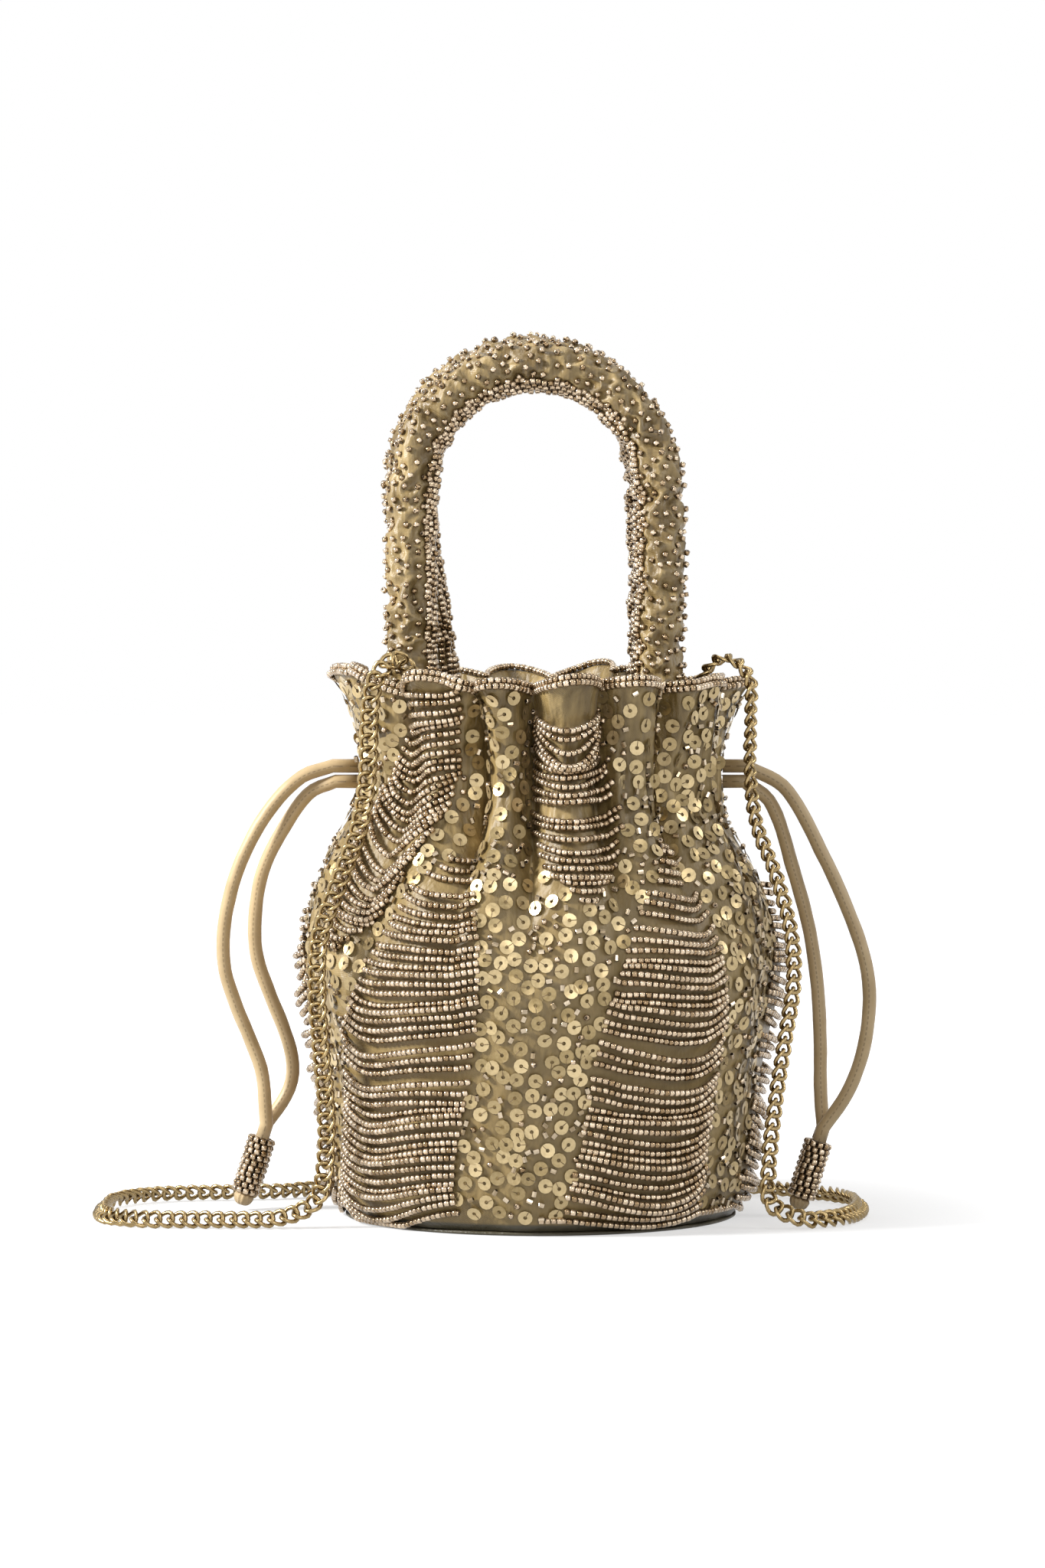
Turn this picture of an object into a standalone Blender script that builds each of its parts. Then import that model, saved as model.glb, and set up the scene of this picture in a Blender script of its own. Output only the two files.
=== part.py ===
"""A gathered potli bag: pleated satin wall, bead swags, padded handles, drawcords, chain strap.

Metres, +Z up. The origin is the centre of the base, where it rests. The front faces -Y.
Angles are in degrees round the bag, from the front, growing towards +X.
"""

import bisect
import math

import bmesh
import bpy
from mathutils import Vector

for old_object in list(bpy.data.objects):
    bpy.data.objects.remove(old_object)

# Gap left where two pieces meet
CLEARANCE = 0.0003

# Wall: outer radius at each height, on the crests of the pleats
WALL_THICKNESS = 0.0012
FOOT_RADIUS = 0.0715
HEEL_HEIGHT, HEEL_RADIUS = 0.012, 0.0765
HIP_HEIGHT, HIP_RADIUS = 0.050, 0.0812
BELLY_HEIGHT, BELLY_RADIUS = 0.092, 0.0882
SHOULDER_HEIGHT, SHOULDER_RADIUS = 0.122, 0.0825
NECK_HEIGHT, NECK_RADIUS = 0.146, 0.0722
THROAT_HEIGHT, THROAT_RADIUS = 0.168, 0.0700
RIM_HEIGHT, RIM_RADIUS = 0.196, 0.0745

# Pleats: where the valleys lie, and how deep they are from the belly up
PLEAT_VALLEYS = (-49, -21, -3, 20, 43, 74, 106, 130, 153, 176, 200, 226, 254, 286)
PLEAT_ROUNDNESS = 0.75
BELLY_PLEAT, SHOULDER_PLEAT, NECK_PLEAT, RIM_PLEAT = 0.0020, 0.0050, 0.0090, 0.0090
RIM_SCALLOP = 0.0030

# Soft folds of the filled cloth between foot and neck: greatest depths, and how they wind
HIP_FOLD, BELLY_FOLD, SHOULDER_FOLD = 0.0009, 0.0030, 0.0026
FOLD_WAVES = ((7, 62.0, 0.4), (12, -48.0, 2.1))

# Base, board and lining
BASE_THICKNESS = 0.0014
BOARD_THICKNESS = 0.0020
LINING_THICKNESS = 0.0006
LINING_TOP = 0.95
LINING_FOLLOW = 0.30
LINING_GAP = 0.0007

# Bead edging on the rim
EDGING_WIDTH, EDGING_HEIGHT = 0.0032, 0.0024

# Swags of draped bead strands
SWAG_COURSE = 0.0135
SWAG_RIDGE, SWAG_GROOVE, SWAG_EDGE = 0.0036, 0.0008, 0.0006
SWAG_RIDGE_PLACE = 0.28
SWAG_SAG = 0.0045
SWAG_TIP_WIDTH = 0.0040
SWAG_TOP_GAP = 0.0040
SWAG_FOOT_GAP = 0.0040
SWAG_LAP = 0.5

# Padded handles
HANDLE_RADIUS = 0.0085
HANDLE_FOOT_HEIGHT = 0.176
HANDLE_SPRING_HEIGHT = 0.266
HANDLE_HALF = 0.0450
HANDLE_LEAN = 0.0092
HANDLE_ARCH_POINTS = 6

# Drawcords, their slots in the wall and the beaded barrels on them
CORD_DIAMETER = 0.005
SLOT_HEIGHT, SLOT_EASE = 0.1615, 0.0006
STRAND_GAP = 0.0006
BARREL_RADIUS, BARREL_LENGTH = 0.0054, 0.0215
BARREL_RINGS = 6
BARREL_RING_RELIEF = 0.0008
CAP_LENGTH, CAP_TIP_RADIUS = 0.0040, 0.0026

# Chain strap
CHAIN_PITCH = 0.0065
LINK_WIDTH = 0.0074
LINK_WIRE = 0.0020
LINK_TILT = 40
LINK_BITE = 0.0003
LINK_CORNER = 35
LINK_LIE = 0.35
RING_RADIUS, RING_WIRE = 0.0038, 0.0016
TAB_WIDTH, TAB_THICKNESS, TAB_DROP = 0.0030, 0.0008, 0.012
TAB_LIFT, TAB_LIFT_SHARE = 0.0008, 0.45
TAB_TURNS = (-20, 40, 100, 160, 220)

# Points that a route's curve is measured on
CURVE_STEPS = 600

WALL_FOOT = BASE_THICKNESS + CLEARANCE
WALL_PROFILE = (
    (WALL_FOOT, FOOT_RADIUS),
    (HEEL_HEIGHT, HEEL_RADIUS),
    (HIP_HEIGHT, HIP_RADIUS),
    (BELLY_HEIGHT, BELLY_RADIUS),
    (SHOULDER_HEIGHT, SHOULDER_RADIUS),
    (NECK_HEIGHT, NECK_RADIUS),
    (THROAT_HEIGHT, THROAT_RADIUS),
    (RIM_HEIGHT, RIM_RADIUS),
)
PLEAT_PROFILE = (
    (WALL_FOOT, 0.0),
    (HIP_HEIGHT, 0.0),
    (BELLY_HEIGHT, BELLY_PLEAT),
    (SHOULDER_HEIGHT, SHOULDER_PLEAT),
    (NECK_HEIGHT, NECK_PLEAT),
    (RIM_HEIGHT, RIM_PLEAT),
)
FOLD_PROFILE = (
    (WALL_FOOT, 0.0),
    (HIP_HEIGHT, HIP_FOLD),
    (BELLY_HEIGHT, BELLY_FOLD),
    (SHOULDER_HEIGHT, SHOULDER_FOLD),
    (NECK_HEIGHT, 0.0),
    (RIM_HEIGHT, 0.0),
)


def through(knots, place):
    """Value at a place on the smooth curve through knots, each a place and a value."""
    places = [knot[0] for knot in knots]
    last = len(knots) - 1
    i = min(max(bisect.bisect_right(places, place) - 1, 0), last - 1)

    def slope(j):
        low, high = max(j - 1, 0), min(j + 1, last)
        return (knots[high][1] - knots[low][1]) / (places[high] - places[low])

    span = places[i + 1] - places[i]
    t = (place - places[i]) / span
    rise = t * t * (3 - 2 * t)
    start = slope(i) * (span * t * (1 - t) ** 2)
    finish = slope(i + 1) * (span * t * t * (t - 1))
    return knots[i][1] * (1 - rise) + knots[i + 1][1] * rise + start + finish


def polar(angle, radius, height):
    turn = math.radians(angle)
    return Vector((radius * math.sin(turn), -radius * math.cos(turn), height))


def pleat_span(angle):
    """The two valleys on either side of an angle, and the angle brought between them."""
    ring = PLEAT_VALLEYS + (PLEAT_VALLEYS[0] + 360,)
    inside = (angle - ring[0]) % 360 + ring[0]
    i = min(bisect.bisect_right(ring, inside), len(ring) - 1)
    return ring[i - 1], ring[i], inside


def fold(angle):
    """0 in the valley between two pleats, 1 on a crest."""
    low, high, inside = pleat_span(angle)
    return max(math.sin(math.pi * (inside - low) / (high - low)), 0) ** PLEAT_ROUNDNESS


def rim_height(angle):
    return RIM_HEIGHT + RIM_SCALLOP * (fold(angle) - 0.5)


def slump(angle, height):
    """Depth of the soft folds, which cross each other as they wind round the bag."""
    share = 0.5
    for count, climb, start in FOLD_WAVES:
        share += 0.25 * math.sin(count * math.radians(angle) + climb * height + start)
    return max(through(FOLD_PROFILE, height), 0.0) * share


def wall_radius(angle, height):
    pleat = through(PLEAT_PROFILE, height) * (1 - fold(angle))
    return through(WALL_PROFILE, height) - pleat - slump(angle, height)


def wall_point(angle, share, inset=0.0):
    """Point on the wall, share 0 at its foot and 1 at its rim, inset towards the axis."""
    level = WALL_FOOT + share * (RIM_HEIGHT - WALL_FOOT)
    height = WALL_FOOT + share * (rim_height(angle) - WALL_FOOT)
    return polar(angle, wall_radius(angle, level) - inset, height)


def share_at(height):
    return (height - WALL_FOOT) / (RIM_HEIGHT - WALL_FOOT)


def columns(per_pleat):
    ring = PLEAT_VALLEYS + (PLEAT_VALLEYS[0] + 360,)
    return [
        low + (high - low) * k / per_pleat
        for low, high in zip(ring, ring[1:])
        for k in range(per_pleat)
    ]


WALL_COLUMNS = columns(4)
LINING_COLUMNS = columns(2)
WALL_LEVELS = [
    0.0,
    share_at(HEEL_HEIGHT),
    share_at(HIP_HEIGHT),
    share_at((HIP_HEIGHT + BELLY_HEIGHT) / 2),
    share_at(BELLY_HEIGHT),
    share_at((BELLY_HEIGHT + SHOULDER_HEIGHT) / 2),
    share_at(SHOULDER_HEIGHT),
    share_at(NECK_HEIGHT),
    share_at(THROAT_HEIGHT),
    1.0,
]
INNER_LEVELS = [0.0]
INNER_LEVELS += [share_at(z) for z in (HEEL_HEIGHT, HIP_HEIGHT, BELLY_HEIGHT, SHOULDER_HEIGHT)]
INNER_LEVELS += [share_at(NECK_HEIGHT), share_at(THROAT_HEIGHT), 1.0]


def material(name, color, roughness, metallic=0.0):
    made = bpy.data.materials.new(name)
    made.use_nodes = True
    shader = made.node_tree.nodes["Principled BSDF"]
    shader.inputs["Base Color"].default_value = (*color, 1.0)
    shader.inputs["Roughness"].default_value = roughness
    shader.inputs["Metallic"].default_value = metallic
    return made


def add_object(name, data, finish, crease=40):
    data.materials.append(finish)
    made = bpy.data.objects.new(name, data)
    bpy.context.scene.collection.objects.link(made)
    if made.type == "MESH":
        data.shade_smooth()
        data.set_sharp_from_angle(angle=math.radians(crease))
    return made


def split_alike(shape, along, turn_row):
    """Cuts a wall's two faces into triangles along the same diagonals, so that they never meet.

    Rows run up the outer face to turn_row, and back down the inner one.
    """
    edge = 2 * turn_row / along - 1
    back = [face for face in shape.faces if face.calc_center_median().y > edge]
    there = [face for face in shape.faces if face.calc_center_median().y <= edge]
    bmesh.ops.triangulate(shape, faces=there, quad_method="FIXED")
    bmesh.ops.triangulate(shape, faces=back, quad_method="ALTERNATE")


def mapped_grid(across, along, place, turn_row=None):
    """A grid of faces whose corner (i, j) lies at place(i, j), welded where corners meet."""
    shape = bmesh.new()
    bmesh.ops.create_grid(shape, x_segments=across, y_segments=along, size=1.0)
    if turn_row:
        split_alike(shape, along, turn_row)
    for corner in shape.verts:
        i = round((corner.co.x + 1) / 2 * across)
        j = round((corner.co.y + 1) / 2 * along)
        corner.co = place(i, j)
    bmesh.ops.remove_doubles(shape, verts=shape.verts, dist=1e-6)
    return shape


def finish_mesh(name, shape):
    rims = [edge for edge in shape.edges if edge.is_boundary]
    bmesh.ops.holes_fill(shape, edges=rims)
    bmesh.ops.recalc_face_normals(shape, faces=shape.faces)
    if shape.calc_volume(signed=True) < 0:
        bmesh.ops.reverse_faces(shape, faces=shape.faces)
    mesh = bpy.data.meshes.new(name)
    shape.to_mesh(mesh)
    shape.free()
    return mesh


def turned_about_axis(name, angles, section, finish, turn_row=None):
    """A body whose section, given by section(angle) as radii and heights, goes round the axis.

    A thin wall's section turns back at its row turn_row.
    """
    sections = [section(angle) for angle in angles]

    def place(i, j):
        radius, height = sections[i % len(angles)][j]
        return polar(angles[i % len(angles)], radius, height)

    shape = mapped_grid(len(angles), len(sections[0]) - 1, place, turn_row)
    return add_object(name, finish_mesh(name, shape), finish)


def flat_of(point):
    return math.hypot(point.x, point.y), point.z


def inner_wall(angle, share):
    """Where the wall's inner face really lies, between the levels that its mesh has."""
    i = min(bisect.bisect_right(INNER_LEVELS, share), len(INNER_LEVELS) - 1)
    low, high = INNER_LEVELS[i - 1], INNER_LEVELS[i]
    t = (share - low) / (high - low)
    start = wall_point(angle, low, WALL_THICKNESS)
    return flat_of(start.lerp(wall_point(angle, high, WALL_THICKNESS), t))


def make_wall(finish):
    def section(angle):
        outer = [flat_of(wall_point(angle, share)) for share in WALL_LEVELS]
        inner = [inner_wall(angle, share) for share in reversed(INNER_LEVELS)]
        return outer + inner + outer[:1]

    top_row = len(WALL_LEVELS) - 1
    wall = turned_about_axis("outer_shell", WALL_COLUMNS, section, finish, top_row)
    for side in (-1, 1):
        cut_slot(wall, side)
    return wall


def cut_slot(wall, side):
    """The buttonhole in the casing that the two strands of a drawcord come out of."""
    shape = bmesh.new()
    bmesh.ops.create_cube(shape, size=1.0)
    depth = 2 * NECK_PLEAT
    width = CORD_DIAMETER + 2 * SLOT_EASE
    length = 2 * CORD_DIAMETER + STRAND_GAP + 2 * SLOT_EASE
    bmesh.ops.scale(shape, vec=(depth, width, length), verts=shape.verts)
    centre = (side * THROAT_RADIUS, 0, SLOT_HEIGHT)
    bmesh.ops.translate(shape, vec=centre, verts=shape.verts)
    mesh = bpy.data.meshes.new("slot_cutter")
    shape.to_mesh(mesh)
    shape.free()
    cutter = bpy.data.objects.new("slot_cutter", mesh)
    bpy.context.scene.collection.objects.link(cutter)
    cutter.hide_render = True
    cutter.display_type = "WIRE"
    cut = wall.modifiers.new("slot", "BOOLEAN")
    cut.operation = "DIFFERENCE"
    cut.solver = "EXACT"
    cut.object = cutter


def within_folds(angle, share):
    """Radius and height just inside the deepest of the wall's soft folds."""
    radius, height = inner_wall(angle, share)
    deepest = max(through(FOLD_PROFILE, height), 0.0)
    return radius + slump(angle, height) - deepest, height


def lining_face(angle, share):
    """Radius and height of the lining's outer face, which hangs loose inside the folds."""
    valley, _ = within_folds(pleat_span(angle)[0], share)
    crest, height = within_folds(angle, share)
    return valley + LINING_FOLLOW * (crest - valley) - LINING_GAP, height


def lining_section(angle):
    """Radii and heights of the lining: up its outer face, over its top and down inside."""
    floor = WALL_FOOT + BOARD_THICKNESS + CLEARANCE
    shares = [share_at(floor)] + INNER_LEVELS[1:-1] + [LINING_TOP]
    outer = [lining_face(angle, share) for share in shares]
    outer[0] = (outer[0][0], floor)
    inner = [(radius - LINING_THICKNESS, height) for radius, height in reversed(outer)]
    inner[-1] = (inner[-1][0], floor + LINING_THICKNESS)
    return [(0, floor)] + outer + inner + [(0, floor + LINING_THICKNESS)]


def make_base_and_lining(satin, card, lining):
    def panel(angle):
        radius = FOOT_RADIUS
        return [(0, 0), (radius, 0), (radius, BASE_THICKNESS), (0, BASE_THICKNESS)]

    def board(angle):
        low, high = WALL_FOOT, WALL_FOOT + BOARD_THICKNESS
        radius = FOOT_RADIUS - WALL_THICKNESS - CLEARANCE
        return [(0, low), (radius, low), (radius, high), (0, high)]

    turned_about_axis("base_panel", LINING_COLUMNS, panel, satin)
    turned_about_axis("base_board", LINING_COLUMNS, board, card)
    top_row = len(lining_section(0)) // 2 - 1
    turned_about_axis("lining", LINING_COLUMNS, lining_section, lining, top_row)


def make_rim_edging(finish):
    def section(angle):
        radius, height = flat_of(wall_point(angle, 1.0, WALL_THICKNESS / 2))
        seat = height + CLEARANCE
        low, high = radius - EDGING_WIDTH / 2, radius + EDGING_WIDTH / 2
        return [(low, seat), (high, seat), (radius, seat + EDGING_HEIGHT), (low, seat)]

    turned_about_axis("rim_edging", WALL_COLUMNS, section, finish)


CORNERS = [[wall_point(angle, share) for share in WALL_LEVELS] for angle in WALL_COLUMNS]


def facet_radius(angle, share):
    """Distance from the axis to the wall's flat faces at an angle and a share of its height."""
    inside = (angle - WALL_COLUMNS[0]) % 360 + WALL_COLUMNS[0]
    i = bisect.bisect_right(WALL_COLUMNS, inside) - 1
    ring = WALL_COLUMNS + [WALL_COLUMNS[0] + 360]
    across = (inside - ring[i]) / (ring[i + 1] - ring[i])
    j = min(max(bisect.bisect_right(WALL_LEVELS, share), 1), len(WALL_LEVELS) - 1)
    up = (share - WALL_LEVELS[j - 1]) / (WALL_LEVELS[j] - WALL_LEVELS[j - 1])
    sides = (CORNERS[i], CORNERS[(i + 1) % len(CORNERS)])
    left, right = (side[j - 1].lerp(side[j], up) for side in sides)
    return flat_of(left.lerp(right, across))[0]


def cover_radius(angle, share, reach, drop):
    """Radius that clears the wall all round a point, as far as reach and drop."""
    around = [angle + reach * k / 3 for k in range(-3, 4)]
    beside = [min(max(share + drop * k, 0.0), 1.0) for k in (-1, 0, 1)]
    highest = max(facet_radius(a, s) for a in around for s in beside)
    return highest / math.cos(math.radians(reach / 2)) + CLEARANCE


# Half width of a leaf along its length, as shares of its greatest half width
UPPER_LEAF = ((0.0, 0.72), (0.35, 0.86), (0.65, 1.0), (0.85, 0.72), (1.0, 0.0))
LOWER_LEAF = ((0.0, 0.62), (0.25, 0.86), (0.55, 1.0), (0.78, 0.66), (1.0, 0.0))

# Each swag: its angle at the rim or base, its angle at the tip, tip height, half width
UPPER_SWAGS = {
    "swag_upper_front_left": (-35, -58, 0.100, 0.0180),
    "swag_upper_front_right": (8, 12, 0.117, 0.0165),
    "swag_upper_right": (126, 127, 0.106, 0.0170),
    "swag_upper_back": (182, 188, 0.110, 0.0170),
    "swag_upper_left": (238, 242, 0.104, 0.0170),
}
LOWER_SWAGS = {
    "swag_lower_front_left": (-42, -23, 0.138, 0.0270),
    "swag_lower_front_right": (27, 38, 0.140, 0.0245),
    "swag_lower_right": (86, 92, 0.126, 0.0220),
    "swag_lower_back_right": (148, 158, 0.122, 0.0250),
    "swag_lower_back_left": (208, 216, 0.128, 0.0250),
    "swag_lower_left": (266, 268, 0.120, 0.0220),
}
SWAG_SECTION = (-1.0, -0.4, 0.4, 1.0, 0.0)


def make_swag(name, swag, upper, finish):
    """A leaf of draped strands: lapped courses that sag between their two ends."""
    root_angle, tip_angle, tip_height, half_width = swag
    leaf = UPPER_LEAF if upper else LOWER_LEAF
    root = RIM_HEIGHT - SWAG_TOP_GAP if upper else WALL_FOOT + SWAG_FOOT_GAP
    length = abs(tip_height - root)
    rows = 2 * max(round(length / SWAG_COURSE), 2)
    sections = []
    for row in range(rows + 1):
        lean = (0.5 - SWAG_RIDGE_PLACE) * 2 * (1 if upper else -1) if row % 2 else 0
        t = (row + lean) / rows
        height = root + (tip_height - root) * t
        share = share_at(height)
        middle = root_angle + (tip_angle - root_angle) * t
        radius = wall_radius(middle, height)
        width = max(half_width * through(leaf, t), SWAG_TIP_WIDTH / 2)
        spread = math.degrees(width / radius)
        sag = share_at(WALL_FOOT + SWAG_SAG) * width / half_width
        relief = SWAG_RIDGE if row % 2 else SWAG_GROOVE
        drop = SWAG_LAP * (root - tip_height) / rows / (RIM_HEIGHT - WALL_FOOT)
        loop = []
        for number, across in enumerate(SWAG_SECTION):
            angle = middle + spread * across
            lower = share - sag * (1 - across * across) * (1.0 if 0 < row < rows else 0.0)
            cover = cover_radius(angle, lower, spread, abs(drop))
            stand = SWAG_EDGE if abs(across) == 1 else relief
            if number == len(SWAG_SECTION) - 1:
                stand = 0.0
            tall = WALL_FOOT + lower * (rim_height(angle) - WALL_FOOT)
            loop.append(polar(angle, cover + stand, tall))
        sections.append(loop)
    sides = len(SWAG_SECTION)
    shape = mapped_grid(sides, rows, lambda i, j: sections[j][i % sides])
    add_object(name, finish_mesh(name, shape), finish, crease=10)


def lining_radius(angle, height):
    """Radius of the lining's inner face at an angle, on the flat faces that its mesh has."""
    share = share_at(height)
    inside = (angle - LINING_COLUMNS[0]) % 360 + LINING_COLUMNS[0]
    ring = LINING_COLUMNS + [LINING_COLUMNS[0] + 360]
    i = bisect.bisect_right(LINING_COLUMNS, inside) - 1
    corners = []
    for column in (ring[i], ring[i + 1]):
        radius, _ = lining_face(column, share)
        corners.append(polar(column, radius - LINING_THICKNESS, 0))
    return corners[0].lerp(corners[1], (inside - ring[i]) / (ring[i + 1] - ring[i])).length


def foot_depth(across):
    """How far from the middle plane a handle's leg, at a place across, meets the lining."""
    low, high = 0.0, THROAT_RADIUS
    for _ in range(24):
        depth = (low + high) / 2
        foot = Vector((across, -depth, 0))
        gap = min(
            (polar(angle, lining_radius(angle, HANDLE_FOOT_HEIGHT), 0) - foot).length
            for angle in range(-180, 180, 3)
        )
        if gap > HANDLE_RADIUS + 3 * CLEARANCE:
            low = depth
        else:
            high = depth
    return low


def resample(knots, spacing):
    """Evenly spaced points on the smooth curve through a list of points."""
    places = [0.0]
    for start, finish in zip(knots, knots[1:]):
        places.append(places[-1] + (finish - start).length)
    curve = list(zip(places, knots))
    fine = [through(curve, places[-1] * k / CURVE_STEPS) for k in range(CURVE_STEPS + 1)]
    run = [0.0]
    for start, finish in zip(fine, fine[1:]):
        run.append(run[-1] + (finish - start).length)
    count = max(round(run[-1] / spacing), 2)
    points = []
    for k in range(count + 1):
        place = run[-1] * k / count
        i = min(max(bisect.bisect_right(run, place), 1), len(run) - 1)
        t = (place - run[i - 1]) / (run[i] - run[i - 1])
        points.append(fine[i - 1].lerp(fine[i], t))
    return points


def add_tube(name, points, radius, finish):
    curve = bpy.data.curves.new(name, "CURVE")
    curve.dimensions = "3D"
    curve.bevel_depth = radius
    curve.bevel_resolution = 2
    curve.use_fill_caps = True
    spline = curve.splines.new("POLY")
    spline.points.add(len(points) - 1)
    for knot, place in zip(spline.points, points):
        knot.co = (*place, 1.0)
    return add_object(name, curve, finish)


# Each handle: side of the bag, left and right foot, middle of its arch, height of its top
HANDLES = {
    "handle_front": (-1, -0.0475, 0.0425, -0.0020, 0.3105),
    "handle_rear": (1, -0.0400, 0.0425, -0.0040, 0.3135),
}


def make_handle(name, handle, finish):
    side, left, right, middle, top = handle
    legs = []
    for foot in (left, right):
        depth = side * foot_depth(foot)
        legs.append([Vector((foot, depth, z)) for z in (HANDLE_FOOT_HEIGHT, RIM_HEIGHT)])
    arch = []
    for k in range(HANDLE_ARCH_POINTS + 1):
        turn = math.pi * k / HANDLE_ARCH_POINTS
        height = HANDLE_SPRING_HEIGHT + (top - HANDLE_SPRING_HEIGHT) * math.sin(turn)
        lean = (height - RIM_HEIGHT) / (top - RIM_HEIGHT)
        depth = legs[0][1].y + (legs[1][1].y - legs[0][1].y) * k / HANDLE_ARCH_POINTS
        depth += (side * HANDLE_LEAN - depth) * lean
        arch.append(Vector((middle - HANDLE_HALF * math.cos(turn), depth, height)))
    points = resample(legs[0] + arch + legs[1][::-1], 3 * HANDLE_RADIUS)
    add_tube(name, points, HANDLE_RADIUS, finish)


# Drawcord strands: places that each one passes, from its slot down to its barrel
LEFT_OUTER = (
    (-0.0665, 0.0000, 0.1643), (-0.0760, 0.0000, 0.1643), (-0.0880, -0.0010, 0.1600),
    (-0.1005, -0.0020, 0.1465), (-0.1100, -0.0020, 0.1285), (-0.1155, 0.0000, 0.1085),
    (-0.1160, 0.0020, 0.0910), (-0.1120, 0.0045, 0.0765), (-0.1070, 0.0065, 0.0640),
    (-0.1025, 0.0075, 0.0510),
)
LEFT_INNER = (
    (-0.0665, 0.0000, 0.1587), (-0.0750, 0.0000, 0.1587), (-0.0845, 0.0020, 0.1545),
    (-0.0935, 0.0040, 0.1425), (-0.1020, 0.0070, 0.1255), (-0.1050, 0.0095, 0.1080),
    (-0.1045, 0.0120, 0.0940), (-0.1000, 0.0140, 0.0800), (-0.0945, 0.0155, 0.0660),
    (-0.0915, 0.0160, 0.0540), (-0.0930, 0.0155, 0.0440),
)
RIGHT_OUTER = (
    (0.0665, 0.0000, 0.1643), (0.0750, 0.0000, 0.1643), (0.0895, -0.0015, 0.1560),
    (0.1030, -0.0030, 0.1320), (0.1135, -0.0060, 0.1085), (0.1185, -0.0085, 0.0925),
    (0.1198, -0.0100, 0.0795), (0.1178, -0.0110, 0.0625), (0.1125, -0.0115, 0.0470),
)
RIGHT_INNER = (
    (0.0665, 0.0000, 0.1587), (0.0740, 0.0000, 0.1587), (0.0840, 0.0010, 0.1510),
    (0.0925, 0.0005, 0.1260), (0.0980, -0.0005, 0.1055), (0.1010, -0.0020, 0.0855),
    (0.1022, -0.0035, 0.0640), (0.1022, -0.0045, 0.0480),
)

# Each barrel: the centres of its top and of its lower end above the cap
BARRELS = {
    "left": (Vector((-0.1025, 0.0110, 0.0270)), Vector((-0.1090, 0.0110, 0.0065))),
    "right": (Vector((0.1015, -0.0080, 0.0275)), Vector((0.0950, -0.0080, 0.0070))),
}
STRANDS = {"left": (LEFT_OUTER, LEFT_INNER), "right": (RIGHT_OUTER, RIGHT_INNER)}


def turned_on_line(name, start, direction, section, sides, finish):
    """A body turned about a line; section lists distances along it and radii."""
    across = direction.cross(Vector((0, 1, 0))).normalized()
    beside = direction.cross(across)

    def place(i, j):
        along, radius = section[j]
        turn = 2 * math.pi * (i % sides) / sides
        offset = across * math.cos(turn) + beside * math.sin(turn)
        return start + direction * along + offset * radius

    shape = mapped_grid(sides, len(section) - 1, place)
    return add_object(name, finish_mesh(name, shape), finish)


def make_barrel(side, beads, satin):
    top, foot = BARRELS[side]
    direction = (foot - top).normalized()
    section = [(0, 0)]
    for k in range(2 * BARREL_RINGS + 1):
        relief = 0.0 if k % 2 else BARREL_RING_RELIEF
        section.append((BARREL_LENGTH * k / (2 * BARREL_RINGS), BARREL_RADIUS - relief))
    section.append((BARREL_LENGTH, 0))
    turned_on_line(f"cord_barrel_{side}", top, direction, section, 8, beads)
    seat = top + direction * (BARREL_LENGTH + CLEARANCE)
    cap = [(0, 0), (0, BARREL_RADIUS - 2 * BARREL_RING_RELIEF), (CAP_LENGTH, CAP_TIP_RADIUS)]
    cap.append((CAP_LENGTH, 0))
    turned_on_line(f"barrel_cap_{side}", seat, direction, cap, 8, satin)


def make_strands(side, finish):
    top, foot = BARRELS[side]
    up = (top - foot).normalized()
    for number, strand in enumerate(STRANDS[side]):
        part = ("outer", "inner")[number]
        beside = Vector((0, (-1, 1)[number] * (CORD_DIAMETER + CLEARANCE) / 2, 0))
        seat = top + beside + up * CLEARANCE
        knots = [Vector(place) for place in strand] + [seat + up * CORD_DIAMETER]
        points = knots[:1] + resample(knots[1:], 2.8 * CORD_DIAMETER) + [seat]
        add_tube(f"drawcord_{side}_{part}", points, CORD_DIAMETER / 2, finish)


# Chain route down each side: angle round the bag, distance from its axis, height
LEFT_DROP = (
    (-48.0, 0.0645, 0.2015), (-48.2, 0.0710, 0.2040), (-48.8, 0.0785, 0.1975),
    (-49.6, 0.0805, 0.1850), (-50.3, 0.0805, 0.1650), (-51.0, 0.0835, 0.1450),
    (-52.0, 0.0915, 0.1250), (-53.0, 0.0990, 0.1050), (-54.0, 0.0990, 0.0880),
    (-55.0, 0.0965, 0.0680), (-56.0, 0.0930, 0.0450), (-57.5, 0.0920, 0.0220),
    (-60.0, 0.0945, 0.0090),
)
RIGHT_DROP = (
    (73.0, 0.0645, 0.2015), (73.0, 0.0710, 0.2040), (73.0, 0.0785, 0.1975),
    (72.5, 0.0795, 0.1850), (72.0, 0.0795, 0.1650), (71.5, 0.0820, 0.1450),
    (71.0, 0.0900, 0.1250), (70.0, 0.0960, 0.1050), (69.0, 0.0975, 0.0880),
    (68.0, 0.0950, 0.0680), (66.0, 0.0925, 0.0450), (63.0, 0.0920, 0.0220),
    (61.0, 0.0945, 0.0090),
)
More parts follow.
